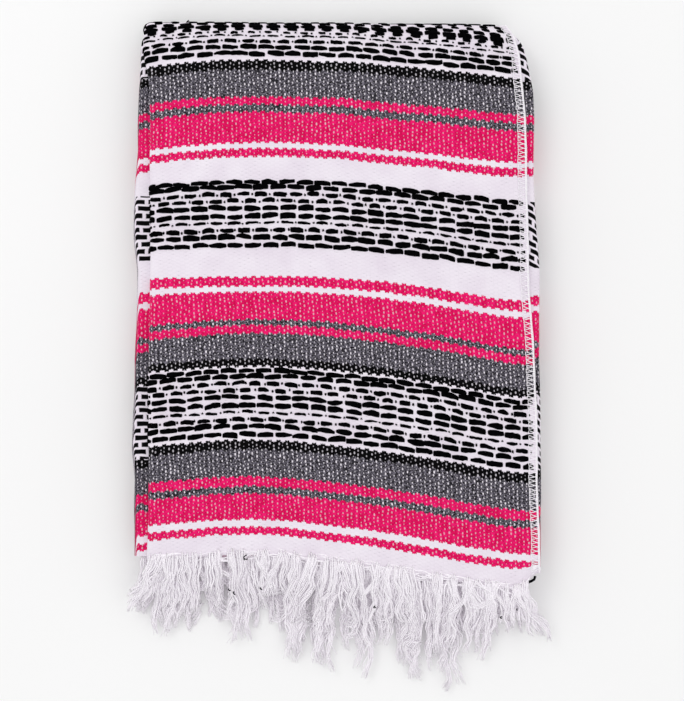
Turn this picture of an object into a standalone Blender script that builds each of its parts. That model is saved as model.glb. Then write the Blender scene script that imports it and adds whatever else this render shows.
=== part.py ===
"""Falsa blanket, woven with a fringe at both ends, folded to a sixteenth and laid flat.

The cloth is folded in four across its width and then in four along its length, so the
pack is four nests of four plies. The outermost ply shows on top and underneath. It turns
over the top fold at +Y, comes back along the underside and turns up round the bottom end.
Both fringes hang over the bottom end at -Y. The pack rests on Z = 0, and its bounding box
is centred on X = 0 and Y = 0.

Sizes are in millimetres here, and add_piece turns them to metres.
"""

import math

import bmesh
import bpy
import numpy as np

MM = 0.001

# The cloth, as woven
CLOTH_WIDTH = 1270.0
CLOTH_LENGTH = 1780.0
PLY = 2.7
PLIES_IN_A_NEST = 4
NESTS = 4

# The folded pack
GAP = 0.35
THICKNESS = 41.0
MID_HEIGHT = THICKNESS / 2
TAKE_UP = 4.0
BACK_TO_HEM = CLOTH_LENGTH / NESTS - TAKE_UP
QUARTER_WIDTH = CLOTH_WIDTH / PLIES_IN_A_NEST
CURL_RADIUS = PLY * PLIES_IN_A_NEST / 2
CURL_TUCK = 5.0
SHORT_TUCK = 0.5
FLAT_CURL = 3.0
OPENING_LENGTH = 175.0

# The top fold, from the top face round to the underside. The nose takes the radius that
# the pack's thickness leaves.
FOLD_ARCS = (
    # name, radius, turn in degrees
    ("shoulder", 60.0, 22.0),
    ("brow", 30.0, 30.0),
    ("nose", None, 110.0),
    ("heel", 30.0, 18.0),
)

CREASE_SINKS_OVER = 60.0

# The fold at the bottom end, which wraps the two lower nests
END_RADIUS = (MID_HEIGHT - GAP) / 2
END_TUCK = 6.0
END_CENTRE_LEFT = 13.0
END_CENTRE_RIGHT = 1.0

# Where each edge of the pack lies in X: on top at the fold and at the hem, and underneath
EDGES = {
    # name: at the fold, at the hem, underneath
    "left outer nest": (-155.3, -150.2, -160.5),
    "left inner nest": (-164.2, -163.2, -163.0),
    "right overlocked edge": (154.1, 161.8, 158.0),
    "right outer nest": (162.0, 162.6, 161.5),
    "right inner nest": (162.5, 163.4, 162.5),
}
EDGE_RIPPLE = 0.7

# The weft bows: how far the hem lies towards -Y, across the width. The cloth bends in
# straight steps between these rows.
HEM_BOW = (
    # x, drop at the hem
    (-170.0, 6.9),
    (-130.0, 3.6),
    (-100.0, 1.0),
    (-70.0, 0.2),
    (-40.0, 2.0),
    (-10.0, 5.6),
    (20.0, 9.3),
    (50.0, 13.7),
    (80.0, 19.0),
    (110.0, 24.8),
    (140.0, 28.6),
    (170.0, 30.8),
)
HEM_SET_BACK = 1.5
LOWER_HEM_LEFT = 3.0
LOWER_HEM_RIGHT = 12.0

# How the pack settles: its height as a share of THICKNESS
SETTLE_HEM = 0.12
SETTLE_HEM_REACH = 190.0
SETTLE_SIDE = 0.06
SETTLE_WAVE = 0.018

# Depths in the pack: where the hidden plies start, and the slot that the outer ply's
# tucked edge lies in
HIDDEN_FROM = PLY + 0.4
SLOT_FROM = 3 * PLY - GAP
SLOT_TO = 4 * PLY + GAP
SLOT_SIDE = 0.05

# Depth rows of the inner folds, from the outer ply to the crease in the middle
DEPTH_ROWS = (
    HIDDEN_FROM, 3.6, 5.0, 5.4, 6.0,
    SLOT_FROM, SLOT_FROM + 2 * SLOT_SIDE, 10.3, SLOT_TO - SLOT_SIDE, SLOT_TO + SLOT_SIDE,
    12.2, 13.8, 15.6, 16.3, 16.8, 18.0, 18.4, 18.9, 20.0, MID_HEIGHT,
)
LAST_ROW_IN_END_FOLD = 16.8
RIGHT_STEPS = (
    # from depth, to depth, edge, set back, rounded or cut
    (HIDDEN_FROM, 5.4, "right overlocked edge", 1.0, "cut"),
    (5.4, SLOT_TO, "right outer nest", 0.0, "round"),
    (SLOT_TO, 16.3, "right inner nest", 0.0, "round"),
    (16.3, 18.4, "right inner nest", 3.5, "cut"),
    (18.4, MID_HEIGHT, "right inner nest", 5.5, "cut"),
)
NOTCH = 1.6

# Divisions
ACROSS = len(HEM_BOW) - 1
CURL_STEPS = 6
STRAIGHT_STATIONS = 11
SHOULDER_STATIONS = 3
NOSE_STATIONS = 11
END_STATIONS = 8

# Fringe: locks of yarn left when the hem was cut
LOCK_RADIUS = 1.05
TIP_RADIUS = 0.6
STRIP_DEPTH = 3.0
STRIP_HEIGHT = 2 * PLY
FULL_REACH = 62.0
LOCK_SHARES = (0.0, 0.17, 0.4, 0.68, 1.0)
UPPER_FRINGE = {
    "locks_along_top": 60,
    "depth": 0.1,
    "fall": 62.0,
    "floor": (8.6, 6.0),
    "clumps": (
        # root from, root to, tip from, tip to, reach on the left, reach on the right
        (-152.0, -137.0, -172.0, -158.0, 50.0, 60.0),
        (-137.0, -119.0, -156.0, -141.0, 64.0, 62.0),
        (-119.0, -98.0, -132.0, -118.0, 58.0, 50.0),
        (-98.0, -80.0, -110.0, -95.0, 48.0, 52.0),
        (-80.0, -58.0, -84.0, -68.0, 72.0, 72.0),
        (-58.0, -42.0, -60.0, -46.0, 52.0, 44.0),
        (-42.0, -12.0, -43.0, -26.0, 76.0, 80.0),
        (-12.0, 2.0, -20.0, -9.0, 58.0, 56.0),
        (2.0, 26.0, -6.0, 19.0, 86.0, 92.0),
        (26.0, 40.0, 28.0, 40.0, 72.0, 66.0),
        (40.0, 76.0, 49.0, 73.0, 86.0, 84.0),
        (76.0, 96.0, 84.0, 94.0, 74.0, 92.0),
        (96.0, 130.0, 100.0, 128.0, 70.0, 56.0),
        (130.0, 145.0, 131.0, 144.0, 46.0, 38.0),
        (145.0, 161.0, 158.0, 173.0, 44.0, 36.0),
    ),
}
LOWER_FRINGE = {
    "locks_along_top": 44,
    "depth": 12.6,
    "fall": 44.0,
    "floor": (3.95, 1.45),
    "clumps": (
        (-158.0, -110.0, -165.0, -112.0, 52.0, 60.0),
        (-110.0, -60.0, -108.0, -62.0, 50.0, 66.0),
        (-60.0, -10.0, -56.0, -16.0, 58.0, 68.0),
        (-10.0, 40.0, -8.0, 36.0, 66.0, 74.0),
        (40.0, 95.0, 46.0, 90.0, 80.0, 76.0),
        (95.0, 158.0, 98.0, 162.0, 66.0, 50.0),
    ),
}


def clear_scene():
    for obj in list(bpy.data.objects):
        bpy.data.objects.remove(obj, do_unlink=True)


def smooth_step(x):
    """Rises from 0 to 1 with level ends."""
    x = np.clip(x, 0.0, 1.0)
    return x * x * (3.0 - 2.0 * x)


def hem_drop(x):
    """How far the upper hem lies towards -Y at x."""
    return float(np.interp(x, [row[0] for row in HEM_BOW], [row[1] for row in HEM_BOW]))


def columns_between(left, right):
    """X of the cloth's columns: both edges, and the rows of HEM_BOW inside them."""
    return [left, *(row[0] for row in HEM_BOW[1:-1]), right]


def lower_hem_drop(x):
    """How far the lower hem lies towards -Y at x, on a straight slant."""
    share = (x - EDGES["left inner nest"][1]) / QUARTER_WIDTH
    return LOWER_HEM_LEFT + (LOWER_HEM_RIGHT - LOWER_HEM_LEFT) * share


def end_centre(x):
    """Y of the bottom end fold's axis at x, on a straight slant."""
    share = (x - EDGES["left inner nest"][1]) / QUARTER_WIDTH
    return END_CENTRE_LEFT + (END_CENTRE_RIGHT - END_CENTRE_LEFT) * share


def edge_x(name, y, turn):
    """X of an edge at y. turn is how far the cloth has gone round the top fold, in degrees."""
    at_fold, at_hem, underneath = EDGES[name]
    on_top = at_hem + (at_fold - at_hem) * y / BACK_TO_HEM
    under = smooth_step(min(turn, 180.0) / 180.0)
    phase = 1.7 * list(EDGES).index(name)
    ripple = math.sin(y / 31.0 + phase) + 0.6 * math.sin(y / 13.0 + 2.0 * phase)
    return on_top + (underneath - on_top) * under + EDGE_RIPPLE * ripple * (1.0 - 0.7 * under)


def settle(x, y, z):
    """The height of a point once the pack has sunk under its own weight."""
    at_hem = 1.0 - smooth_step(y / SETTLE_HEM_REACH)
    side = (abs(x) / 165.0) ** 5
    wave = math.sin(x / 37.0 + y / 83.0) * math.sin(y / 55.0 - x / 120.0)
    return z * (1.0 - SETTLE_HEM * at_hem - SETTLE_SIDE * min(side, 1.0) + SETTLE_WAVE * wave)


def nose_radius():
    """The nose's radius, from the height that the other arcs leave it."""
    turn = 0.0
    left_over = THICKNESS
    nose_fall = 0.0
    for _, radius, degrees in FOLD_ARCS:
        fall = math.cos(math.radians(turn)) - math.cos(math.radians(turn + degrees))
        if radius is None:
            nose_fall = fall
        else:
            left_over -= radius * fall
        turn += degrees
    return left_over / nose_fall


def fold_chain(first_y):
    """The top fold's arcs from first_y as (turn from, turn to, radius, centre y, centre z)."""
    arcs = []
    turn = 0.0
    y, z = first_y, THICKNESS
    for _, radius, degrees in FOLD_ARCS:
        radius = nose_radius() if radius is None else radius
        start, stop = math.radians(turn), math.radians(turn + degrees)
        centre = (y - radius * math.sin(start), z - radius * math.cos(start))
        arcs.append((turn, turn + degrees, radius, *centre))
        y = centre[0] + radius * math.sin(stop)
        z = centre[1] + radius * math.cos(stop)
        turn += degrees
    return arcs


NOSE = 2
FOLD_REACH = fold_chain(0.0)[NOSE][3] + nose_radius()
STRAIGHT_TO_SHOULDER = BACK_TO_HEM - FOLD_REACH
ARCS = fold_chain(STRAIGHT_TO_SHOULDER)
HEEL_END = ARCS[-1][3]
CREASE_TIP = (HEEL_END, ARCS[NOSE][4] + 1.0)


def on_fold(turn):
    """The outer face's point (y, z) at this turn round the top fold."""
    for start, stop, radius, centre_y, centre_z in ARCS:
        if start <= turn <= stop:
            angle = math.radians(turn)
            return centre_y + radius * math.sin(angle), centre_z + radius * math.cos(angle)
    raise ValueError(f"no arc holds {turn} degrees")


def turn_at(y):
    """The turn of the top face at y, in the shoulder's arc."""
    return math.degrees(math.asin(max(0.0, (y - ARCS[0][3]) / ARCS[0][2])))


def inward(turn):
    """The unit step (y, z) from the outer face into the pack."""
    angle = math.radians(turn)
    return -math.sin(angle), -math.cos(angle)


def top_stations():
    """(y, z, turn) along the top face to where the heel's arc ends below it.

    They start where every ply lies behind the bottom end fold's tuck.
    """
    first = END_CENTRE_LEFT + END_TUCK + 2.0
    flat = np.linspace(first, STRAIGHT_TO_SHOULDER, STRAIGHT_STATIONS + 1)
    curved = np.linspace(STRAIGHT_TO_SHOULDER, HEEL_END, SHOULDER_STATIONS + 1)[1:]
    stations = [(float(y), THICKNESS, 0.0) for y in flat]
    for y in curved:
        turn = turn_at(float(y))
        stations.append((*on_fold(turn), turn))
    return stations


def nose_stations():
    """(y, z, turn) round the top fold, without its first and last point."""
    turns = np.linspace(turn_at(HEEL_END), 180.0, NOSE_STATIONS + 1)[1:-1]
    return [(*on_fold(float(turn)), float(turn)) for turn in turns]


def add_piece(name, points, faces, colour, roughness):
    """A closed mesh object from points in millimetres and faces, with its own material."""
    mesh = bpy.data.meshes.new(name)
    mesh.from_pydata([tuple(float(v) * MM for v in point) for point in points], [], faces)
    shape = bmesh.new()
    shape.from_mesh(mesh)
    bmesh.ops.remove_doubles(shape, verts=shape.verts, dist=0.02 * MM)
    bmesh.ops.recalc_face_normals(shape, faces=shape.faces)
    shape.to_mesh(mesh)
    shape.free()
    obj = bpy.data.objects.new(name, mesh)
    collection.objects.link(obj)
    material = bpy.data.materials.new(name.replace("_", " "))
    material.use_nodes = True
    shader = material.node_tree.nodes["Principled BSDF"]
    shader.inputs["Base Color"].default_value = (*colour, 1.0)
    shader.inputs["Roughness"].default_value = roughness
    shader.inputs["Metallic"].default_value = 0.0
    mesh.materials.append(material)
    mesh.shade_smooth()
    mesh.set_sharp_from_angle(angle=math.radians(40.0))
    return obj


def outer_section(left, right, curl, tuck):
    """The outer ply cut across: (x, depth) on its outer face and on its inner face.

    It runs from the overlocked edge to the left, round the folded edge by curl degrees,
    and on by tuck.
    """
    axis = left + CURL_RADIUS
    rings = []
    for radius in (CURL_RADIUS, CURL_RADIUS - PLY):
        depth = CURL_RADIUS - radius
        points = [(x, depth) for x in reversed(columns_between(axis, right))]
        for step in range(1, CURL_STEPS + 1):
            angle = math.radians(curl * step / CURL_STEPS)
            points.append((axis - radius * math.sin(angle), CURL_RADIUS - radius * math.cos(angle)))
        angle = math.radians(curl)
        end_x, end_depth = points[-1]
        points.append((end_x - tuck * math.cos(angle), end_depth + tuck * math.sin(angle)))
        rings.append(points)
    return rings[0] + rings[1][::-1]


def opening(y):
    """(curl, tuck) of the left folded edge underneath, which opens flat towards the end fold."""
    first = END_CENTRE_LEFT + END_TUCK + 2.0
    share = float(smooth_step((y - first) / OPENING_LENGTH))
    curl = FLAT_CURL + (180.0 - FLAT_CURL) * share
    if share >= 1.0:
        return curl, CURL_TUCK
    flat = 1.0 - float(smooth_step(curl / 60.0))
    return curl, SHORT_TUCK + (CURL_RADIUS - 1.0 - SHORT_TUCK) * flat


def outer_stations():
    """(y, z, turn, curl, tuck) along the outer ply, from the hem to its tuck in the pack."""
    top = top_stations()
    rows = [(0.0, THICKNESS, 0.0, 180.0, CURL_TUCK)]
    rows += [(*place, 180.0, CURL_TUCK) for place in top]
    rows += [(*place, 180.0, CURL_TUCK) for place in nose_stations()]
    below = [(y, 0.0, 180.0) for y, _, _ in reversed(top)]
    for y, z, turn in below:
        curl, tuck = opening(y)
        rows.append((y, z, turn, curl, tuck))
    curl, tuck = opening(0.0)
    for turn in np.linspace(180.0, 360.0, END_STATIONS + 1):
        angle = math.radians(float(turn))
        y = END_RADIUS * math.sin(angle)
        z = END_RADIUS + END_RADIUS * math.cos(angle)
        rows.append((y, z, float(turn), curl, tuck))
    rows.append((END_TUCK, 2 * END_RADIUS, 360.0, curl, tuck))
    return rows


def build_outer_layer():
    """The ply that shows: one wall of cloth along the whole outside of the pack."""
    stations = outer_stations()
    end_fold_from = len(stations) - END_STATIONS - 2
    points = []
    width = 0
    for index, (y, z, turn, curl, tuck) in enumerate(stations):
        along = y if index < end_fold_from else 0.0
        section = outer_section(
            edge_x("left outer nest", along, turn),
            edge_x("right overlocked edge", along, turn),
            curl,
            tuck,
        )
        width = len(section)
        step_y, step_z = inward(turn)
        for x, depth in section:
            shift = 0.0
            if index == 0:
                shift = -hem_drop(x)
            if index >= end_fold_from:
                shift = end_centre(x)
            here_y = y + step_y * depth + shift
            points.append((x, here_y, settle(x, here_y, z + step_z * depth)))
    faces = []
    for ring in range(len(stations) - 1):
        for side in range(width):
            following = (side + 1) % width
            first, second = ring * width, (ring + 1) * width
            faces.append((first + side, first + following, second + following, second + side))
    # Each end is closed by the quads between the ply's two faces.
    for ring in (0, len(stations) - 1):
        base = ring * width
        for side in range(width // 2 - 1):
            across = (base + side, base + side + 1, base + width - 2 - side, base + width - 1 - side)
            faces.append(across)
    return add_piece("outer_layer", points, faces, (0.74, 0.03, 0.12), 0.9)


def left_of_inner(depth, y, turn):
    """X of the inner folds' left side at this depth."""
    outer = edge_x("left outer nest", y, turn)
    inner = edge_x("left inner nest", y, turn)
    if depth < SLOT_FROM + SLOT_SIDE:
        radius = (SLOT_FROM - HIDDEN_FROM) / 2
        round_off = math.sqrt(max(radius**2 - (depth - CURL_RADIUS) ** 2, 0.0))
        return outer + CURL_RADIUS + GAP - round_off
    if depth < SLOT_TO:
        return outer + CURL_RADIUS + CURL_TUCK + 1.0
    inner_from = SLOT_TO + SLOT_SIDE
    radius = (MID_HEIGHT - inner_from) / 2
    round_off = math.sqrt(max(radius**2 - (depth - inner_from - radius) ** 2, 0.0))
    return inner + radius - round_off


def right_of_inner(depth, y, turn):
    """X of the inner folds' right side at this depth: rounded folds and cut, overlocked edges."""
    for start, stop, edge, set_back, form in RIGHT_STEPS:
        if start <= depth <= stop:
            limit = edge_x(edge, y, turn) - set_back
            radius = (stop - start) / 2
            away = abs(depth - start - radius) / radius
            if form == "round":
                return limit - radius * (1.0 - math.sqrt(max(1.0 - away**2, 0.0)))
            return limit - NOTCH * max(0.0, away - 0.7) / 0.3
    raise ValueError(f"no step holds a depth of {depth}")


def build_inner_folds():
    """All hidden plies as one rounded solid, layered where their edges show."""
    top = top_stations()
    pair_count = len(top)
    nose = nose_stations()
    below = [(y, 0.0, 180.0) for y, _, _ in reversed(top)]
    stations = top + nose + below
    last = len(stations) - 1
    rows = len(DEPTH_ROWS)
    offset_rows = SLOT_TO + SLOT_SIDE

    def crease(index):
        """(y, z) of the middle crease that this station runs in to."""
        mirrored = min(index, last - index)
        if mirrored >= pair_count:
            return CREASE_TIP
        y = top[mirrored][0]
        sinks_from = STRAIGHT_TO_SHOULDER - CREASE_SINKS_OVER
        share = float(smooth_step((y - sinks_from) / (HEEL_END - sinks_from)))
        return y, MID_HEIGHT + (CREASE_TIP[1] - MID_HEIGHT) * share

    def place(index, depth):
        """(y, z, turn) at a station and depth: offset from the outer face, then to the crease.

        Both halves reach the crease with the same turn, so that their edges meet there.
        """
        y, z, turn = stations[index]
        step_y, step_z = inward(turn)
        offset = min(depth, offset_rows)
        y, z = y + step_y * offset, z + step_z * offset
        if depth > offset_rows:
            share = (depth - offset_rows) / (MID_HEIGHT - offset_rows)
            to_y, to_z = crease(index)
            y, z = y + (to_y - y) * share, z + (to_z - z) * share
            turn += (90.0 - turn) * share
        return y, z, turn

    points = []
    numbers = {}

    def corner(index, row, column):
        """The number of one grid point. Index -1 is the hem end and last + 1 the end fold."""
        key = (index, row, column)
        if key in numbers:
            return numbers[key]
        depth = DEPTH_ROWS[row]
        inside = min(max(index, 0), last)
        y, z, turn = place(inside, depth)
        left = left_of_inner(depth, y, turn)
        right = right_of_inner(depth, y, turn)
        x = columns_between(left, right)[column]
        if index < 0:
            y = HEM_SET_BACK - hem_drop(x) if depth < SLOT_TO else -lower_hem_drop(x)
        if index > last:
            radius = END_RADIUS - DEPTH_ROWS[0]
            y = end_centre(x) - math.sqrt(max(radius**2 - (depth - END_RADIUS) ** 2, 0.0))
        numbers[key] = len(points)
        points.append((x, y, settle(x, y, z)))
        return numbers[key]

    def present(index, row):
        """Whether the solid fills the cell from this station and depth row to the next."""
        if not (-1 <= index <= last and 0 <= row < rows - 1):
            return False
        return not (index == last and DEPTH_ROWS[row] >= LAST_ROW_IN_END_FOLD)

    faces = []
    for index in range(-1, last + 1):
        for row in range(rows - 1):
            if not present(index, row):
                continue
            for column in (0, ACROSS):
                faces.append(
                    (
                        corner(index, row, column),
                        corner(index + 1, row, column),
                        corner(index + 1, row + 1, column),
                        corner(index, row + 1, column),
                    )
                )
            edges = []
            if not present(index - 1, row):
                edges.append(((index, row), (index, row + 1)))
            if not present(index + 1, row):
                edges.append(((index + 1, row), (index + 1, row + 1)))
            if not present(index, row - 1):
                edges.append(((index, row), (index + 1, row)))
            # The deepest row is a rim only at the hem end: elsewhere the two halves meet there.
            if not present(index, row + 1) and (row < rows - 2 or index in (-1, last)):
                edges.append(((index, row + 1), (index + 1, row + 1)))
            for start, stop in edges:
                for column in range(ACROSS):
                    faces.append(
                        (
                            corner(*start, column),
                            corner(*stop, column),
                            corner(*stop, column + 1),
                            corner(*start, column + 1),
                        )
                    )
    return add_piece("inner_folds", points, faces, (0.35, 0.32, 0.36), 0.9)


def clump_at(x, clumps):
    """Where the lock rooted at x would lie at full reach, and how far it really reaches."""
    for root_from, root_to, tip_from, tip_to, reach_left, reach_right in clumps:
        if x <= root_to:
            share = max(0.0, (x - root_from) / (root_to - root_from))
            return tip_from + (tip_to - tip_from) * share, reach_left + (reach_right - reach_left) * share
    return clumps[-1][3], clumps[-1][5]


def build_fringe(name, form, drop):
    """Locks of yarn drawn out of a narrow strip along the hem, lying down in two tiers.

    The strip's front is a zigzag of triangles between its top and bottom edges, and each
    triangle is the root of one three-sided lock.
    """
    clumps = form["clumps"]
    left, right = clumps[0][0], clumps[-1][1]
    count = form["locks_along_top"]
    pitch = (right - left) / count
    high = THICKNESS - form["depth"]
    low = high - STRIP_HEIGHT
    points = []

    def add_point(x, y, z):
        points.append((x, y, settle(x, y, z)))
        return len(points) - 1

    def strip_row(places, z, set_back):
        return [add_point(x, -drop(x) - GAP - set_back, z) for x in places]

    top_places = [left + pitch * k for k in range(count + 1)]
    low_places = [left + pitch * (k + 0.5) for k in range(count)]
    front_top = strip_row(top_places, high, STRIP_DEPTH)
    front_low = strip_row(low_places, low, STRIP_DEPTH)
    back_top = strip_row(top_places, high, 0.0)
    back_low = strip_row(low_places, low, 0.0)
    faces = []
    for k in range(count):
        faces.append((front_top[k], front_top[k + 1], back_top[k + 1], back_top[k]))
        faces.append((back_top[k], back_top[k + 1], back_low[k]))
    for k in range(count - 1):
        faces.append((front_low[k], back_low[k], back_low[k + 1], front_low[k + 1]))
        faces.append((back_low[k], back_top[k + 1], back_low[k + 1]))
    faces.append((front_top[0], back_top[0], back_low[0], front_low[0]))
    faces.append((front_top[-1], front_low[-1], back_low[-1], back_top[-1]))

    roots = []
    for k in range(count):
        roots.append((front_top[k], front_top[k + 1], front_low[k]))
        if k < count - 1:
            roots.append((front_low[k + 1], front_low[k], front_top[k + 1]))
    generator = np.random.default_rng(11)
    for number, root in enumerate(roots):
        corners = np.array([points[p] for p in root])
        x_root, y_root, z_root = corners.mean(axis=0)
        outward = np.sign(corners[0][2] - z_root)
        x_far, reach = clump_at(x_root, clumps)
        reach *= generator.uniform(0.82, 1.0)
        tier = form["floor"][number % 2]
        wander = generator.uniform(-0.25, 0.25)
        ring = list(root)
        for share in LOCK_SHARES[1:]:
            out = reach * share
            bend = float(smooth_step(out / FULL_REACH))
            x = x_root + (x_far - x_root) * bend + wander * bend
            fall = 1.0 - float(smooth_step(out / form["fall"]))
            z = tier + (z_root - tier) * fall
            radius = LOCK_RADIUS + (TIP_RADIUS - LOCK_RADIUS) * share
            # The section keeps its root's turn: two corners on the side of the base.
            section = (
                (x - radius * 0.87 * outward, z + radius * 0.5 * outward),
                (x + radius * 0.87 * outward, z + radius * 0.5 * outward),
                (x, z - radius * outward),
            )
            following = []
            for corner_x, corner_z in section:
                points.append((corner_x, y_root - out, corner_z))
                following.append(len(points) - 1)
            for side in range(3):
                other = (side + 1) % 3
                faces.append((ring[side], ring[other], following[other], following[side]))
            ring = following
        faces.append(tuple(ring))
    return add_piece(name, points, faces, (0.82, 0.77, 0.83), 0.95)


def centre_on_origin(pieces):
    """Moves all pieces together so that their bounding box is centred in X and Y."""
    corners = np.array([vertex.co for obj in pieces for vertex in obj.data.vertices])
    middle = (corners.min(axis=0) + corners.max(axis=0)) / 2
    for obj in pieces:
        for vertex in obj.data.vertices:
            vertex.co.x -= middle[0]
            vertex.co.y -= middle[1]


clear_scene()
collection = bpy.data.collections.new("Mexican blanket")
bpy.context.scene.collection.children.link(collection)
centre_on_origin(
    [
        build_outer_layer(),
        build_inner_folds(),
        build_fringe("fringe_upper", UPPER_FRINGE, hem_drop),
        build_fringe("fringe_lower", LOWER_FRINGE, lower_hem_drop),
    ]
)
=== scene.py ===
"""Looks of a folded falsa blanket: woven stripes, raised black floats, overlocked edges and fringe.

The blanket is folded in quarters each way and lies flat, fringe towards -Y. Lengths in this
file are in millimetres, and every piece is turned to metres when its mesh is made. The folded
pack is described by one map: a point of the outer ply has u, across from the overlocked edge,
s, along the cloth from the hem over the top fold and back underneath, and a lift above its
face.
"""

import math
from functools import partial

import bmesh
import bpy
import numpy as np
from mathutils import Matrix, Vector


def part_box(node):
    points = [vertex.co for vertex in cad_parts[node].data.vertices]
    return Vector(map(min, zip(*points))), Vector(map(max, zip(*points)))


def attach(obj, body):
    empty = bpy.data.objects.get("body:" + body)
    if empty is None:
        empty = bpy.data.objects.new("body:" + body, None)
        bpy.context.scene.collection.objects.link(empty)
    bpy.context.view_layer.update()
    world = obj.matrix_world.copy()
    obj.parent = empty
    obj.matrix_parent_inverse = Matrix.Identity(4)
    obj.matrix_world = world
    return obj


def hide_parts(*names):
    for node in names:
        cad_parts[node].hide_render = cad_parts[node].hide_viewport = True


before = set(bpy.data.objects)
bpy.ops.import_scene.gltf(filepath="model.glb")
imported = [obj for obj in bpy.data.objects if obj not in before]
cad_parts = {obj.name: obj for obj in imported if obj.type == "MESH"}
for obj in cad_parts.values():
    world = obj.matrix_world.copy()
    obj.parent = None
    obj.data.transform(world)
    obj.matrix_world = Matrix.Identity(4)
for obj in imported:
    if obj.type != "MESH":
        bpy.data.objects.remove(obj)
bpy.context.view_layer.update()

bl_info = {
    "name": "Folded Falsa Blanket",
    "version": (1, 0, 0),
    "blender": (4, 5, 0),
    "location": "View3D > Sidebar > Blanket",
    "description": "Builds a folded falsa blanket with woven stripes, floats, overlock and fringe",
    "category": "Add Mesh",
}

MM = 0.001

# The folded cloth, as its solids have it
PLY = 2.7
THICKNESS = 41.0
MID_HEIGHT = THICKNESS / 2
SOLID_BACK = 441.0
BACK_TO_HEM = 437.3
QUARTER_WIDTH = 317.5
GAP = 0.35
CURL_RADIUS = 2 * PLY
CURL_TUCK = 5.0
SHORT_TUCK = 0.5
FLAT_CURL = 3.0
OPENING_LENGTH = 175.0
FOLD_ARCS = ((60.0, 22.0), (30.0, 30.0), (None, 110.0), (30.0, 18.0))  # radius, turn in degrees
NOSE = 2
END_RADIUS = (MID_HEIGHT - GAP) / 2
END_TUCK = 6.0
END_CENTRE = (13.0, 1.0)
END_START = END_CENTRE[0] + END_TUCK + 2.0
LOWER_HEM = (3.0, 12.0)
HEM_SET_BACK = 1.5
EDGES = {
    # name: (y, x) along the top face from the hem to the fold, then X underneath
    "left outer nest": (
        ((-10, -156.3), (45, -155.7), (126, -154.4), (290, -153.0), (380, -153.4), (402, -156.5),
         (418, -159.6), (441, -159.8)), -160.5),
    "left inner nest": (
        ((-20, -163.5), (-8, -165.5), (12, -168.0), (37, -168.8), (61, -168.2), (85, -170.0),
         (110, -169.0), (134, -168.0), (159, -168.0), (183, -166.6), (232, -165.6), (256, -168.0),
         (281, -168.2), (305, -167.2), (330, -164.6), (354, -165.0), (378, -164.6), (406, -162.8),
         (441, -161.6)), -165.0),
    "right overlocked edge": (
        ((-30, 164.8), (12, 164.2), (60, 162.8), (126, 160.8), (171, 158.4), (215, 155.6),
         (290, 153.6), (338, 152.2), (365, 151.4), (384, 149.6), (408, 147.3), (426, 143.3),
         (435, 138.5), (441, 136.0)), 158.0),
    "right outer nest": (
        ((-12, 166.0), (45, 166.4), (110, 165.8), (158, 165.0), (232, 165.0), (256, 163.4),
         (281, 161.0), (305, 159.6), (338, 160.8), (355, 161.2), (378, 160.0), (406, 154.8),
         (416, 153.0), (422, 150.0), (429, 145.5), (435, 142.0), (441, 139.5)), 162.5),
    "right inner nest": (
        ((-12, 166.4), (45, 166.8), (110, 166.2), (158, 165.4), (232, 165.4), (256, 163.8),
         (281, 161.4), (305, 160.0), (338, 161.2), (355, 161.6), (378, 160.2), (406, 154.8),
         (416, 152.8), (422, 149.8), (429, 145.2), (435, 141.6), (441, 139.2)), 163.5),
    "warp line": (
        ((-30, 164.8), (12, 164.2), (60, 162.8), (126, 160.8), (171, 158.4), (215, 155.6),
         (290, 153.6), (338, 152.2), (365, 151.4), (400, 150.6), (441, 150.2)), 158.0),
}
EDGE_RIPPLE = 0.4
PULLED_WIDTH = 70.0
LOWER_LEFT = -163.2
FOLD_SLANT = 2.8
CORNER_RISE = 15.0
UNDER_PRESS = 0.9

# Depths of the plies inside the pack, as the solids have them
HIDDEN_FROM = PLY + 0.4
SLOT_FROM = 3 * PLY - GAP
SLOT_TO = 4 * PLY + GAP
RIGHT_STEPS = (
    # from depth, to depth, edge, set back, rounded or cut
    (HIDDEN_FROM, 5.4, "right overlocked edge", 1.0, "cut"),
    (5.4, SLOT_TO, "right outer nest", 0.0, "round"),
    (SLOT_TO, 16.3, "right inner nest", 0.0, "round"),
    (16.3, 18.4, "right inner nest", 3.5, "cut"),
    (18.4, MID_HEIGHT, "right inner nest", 5.5, "cut"),
)
NOTCH = 1.6
THIRD_LAYER = 2.2

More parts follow.
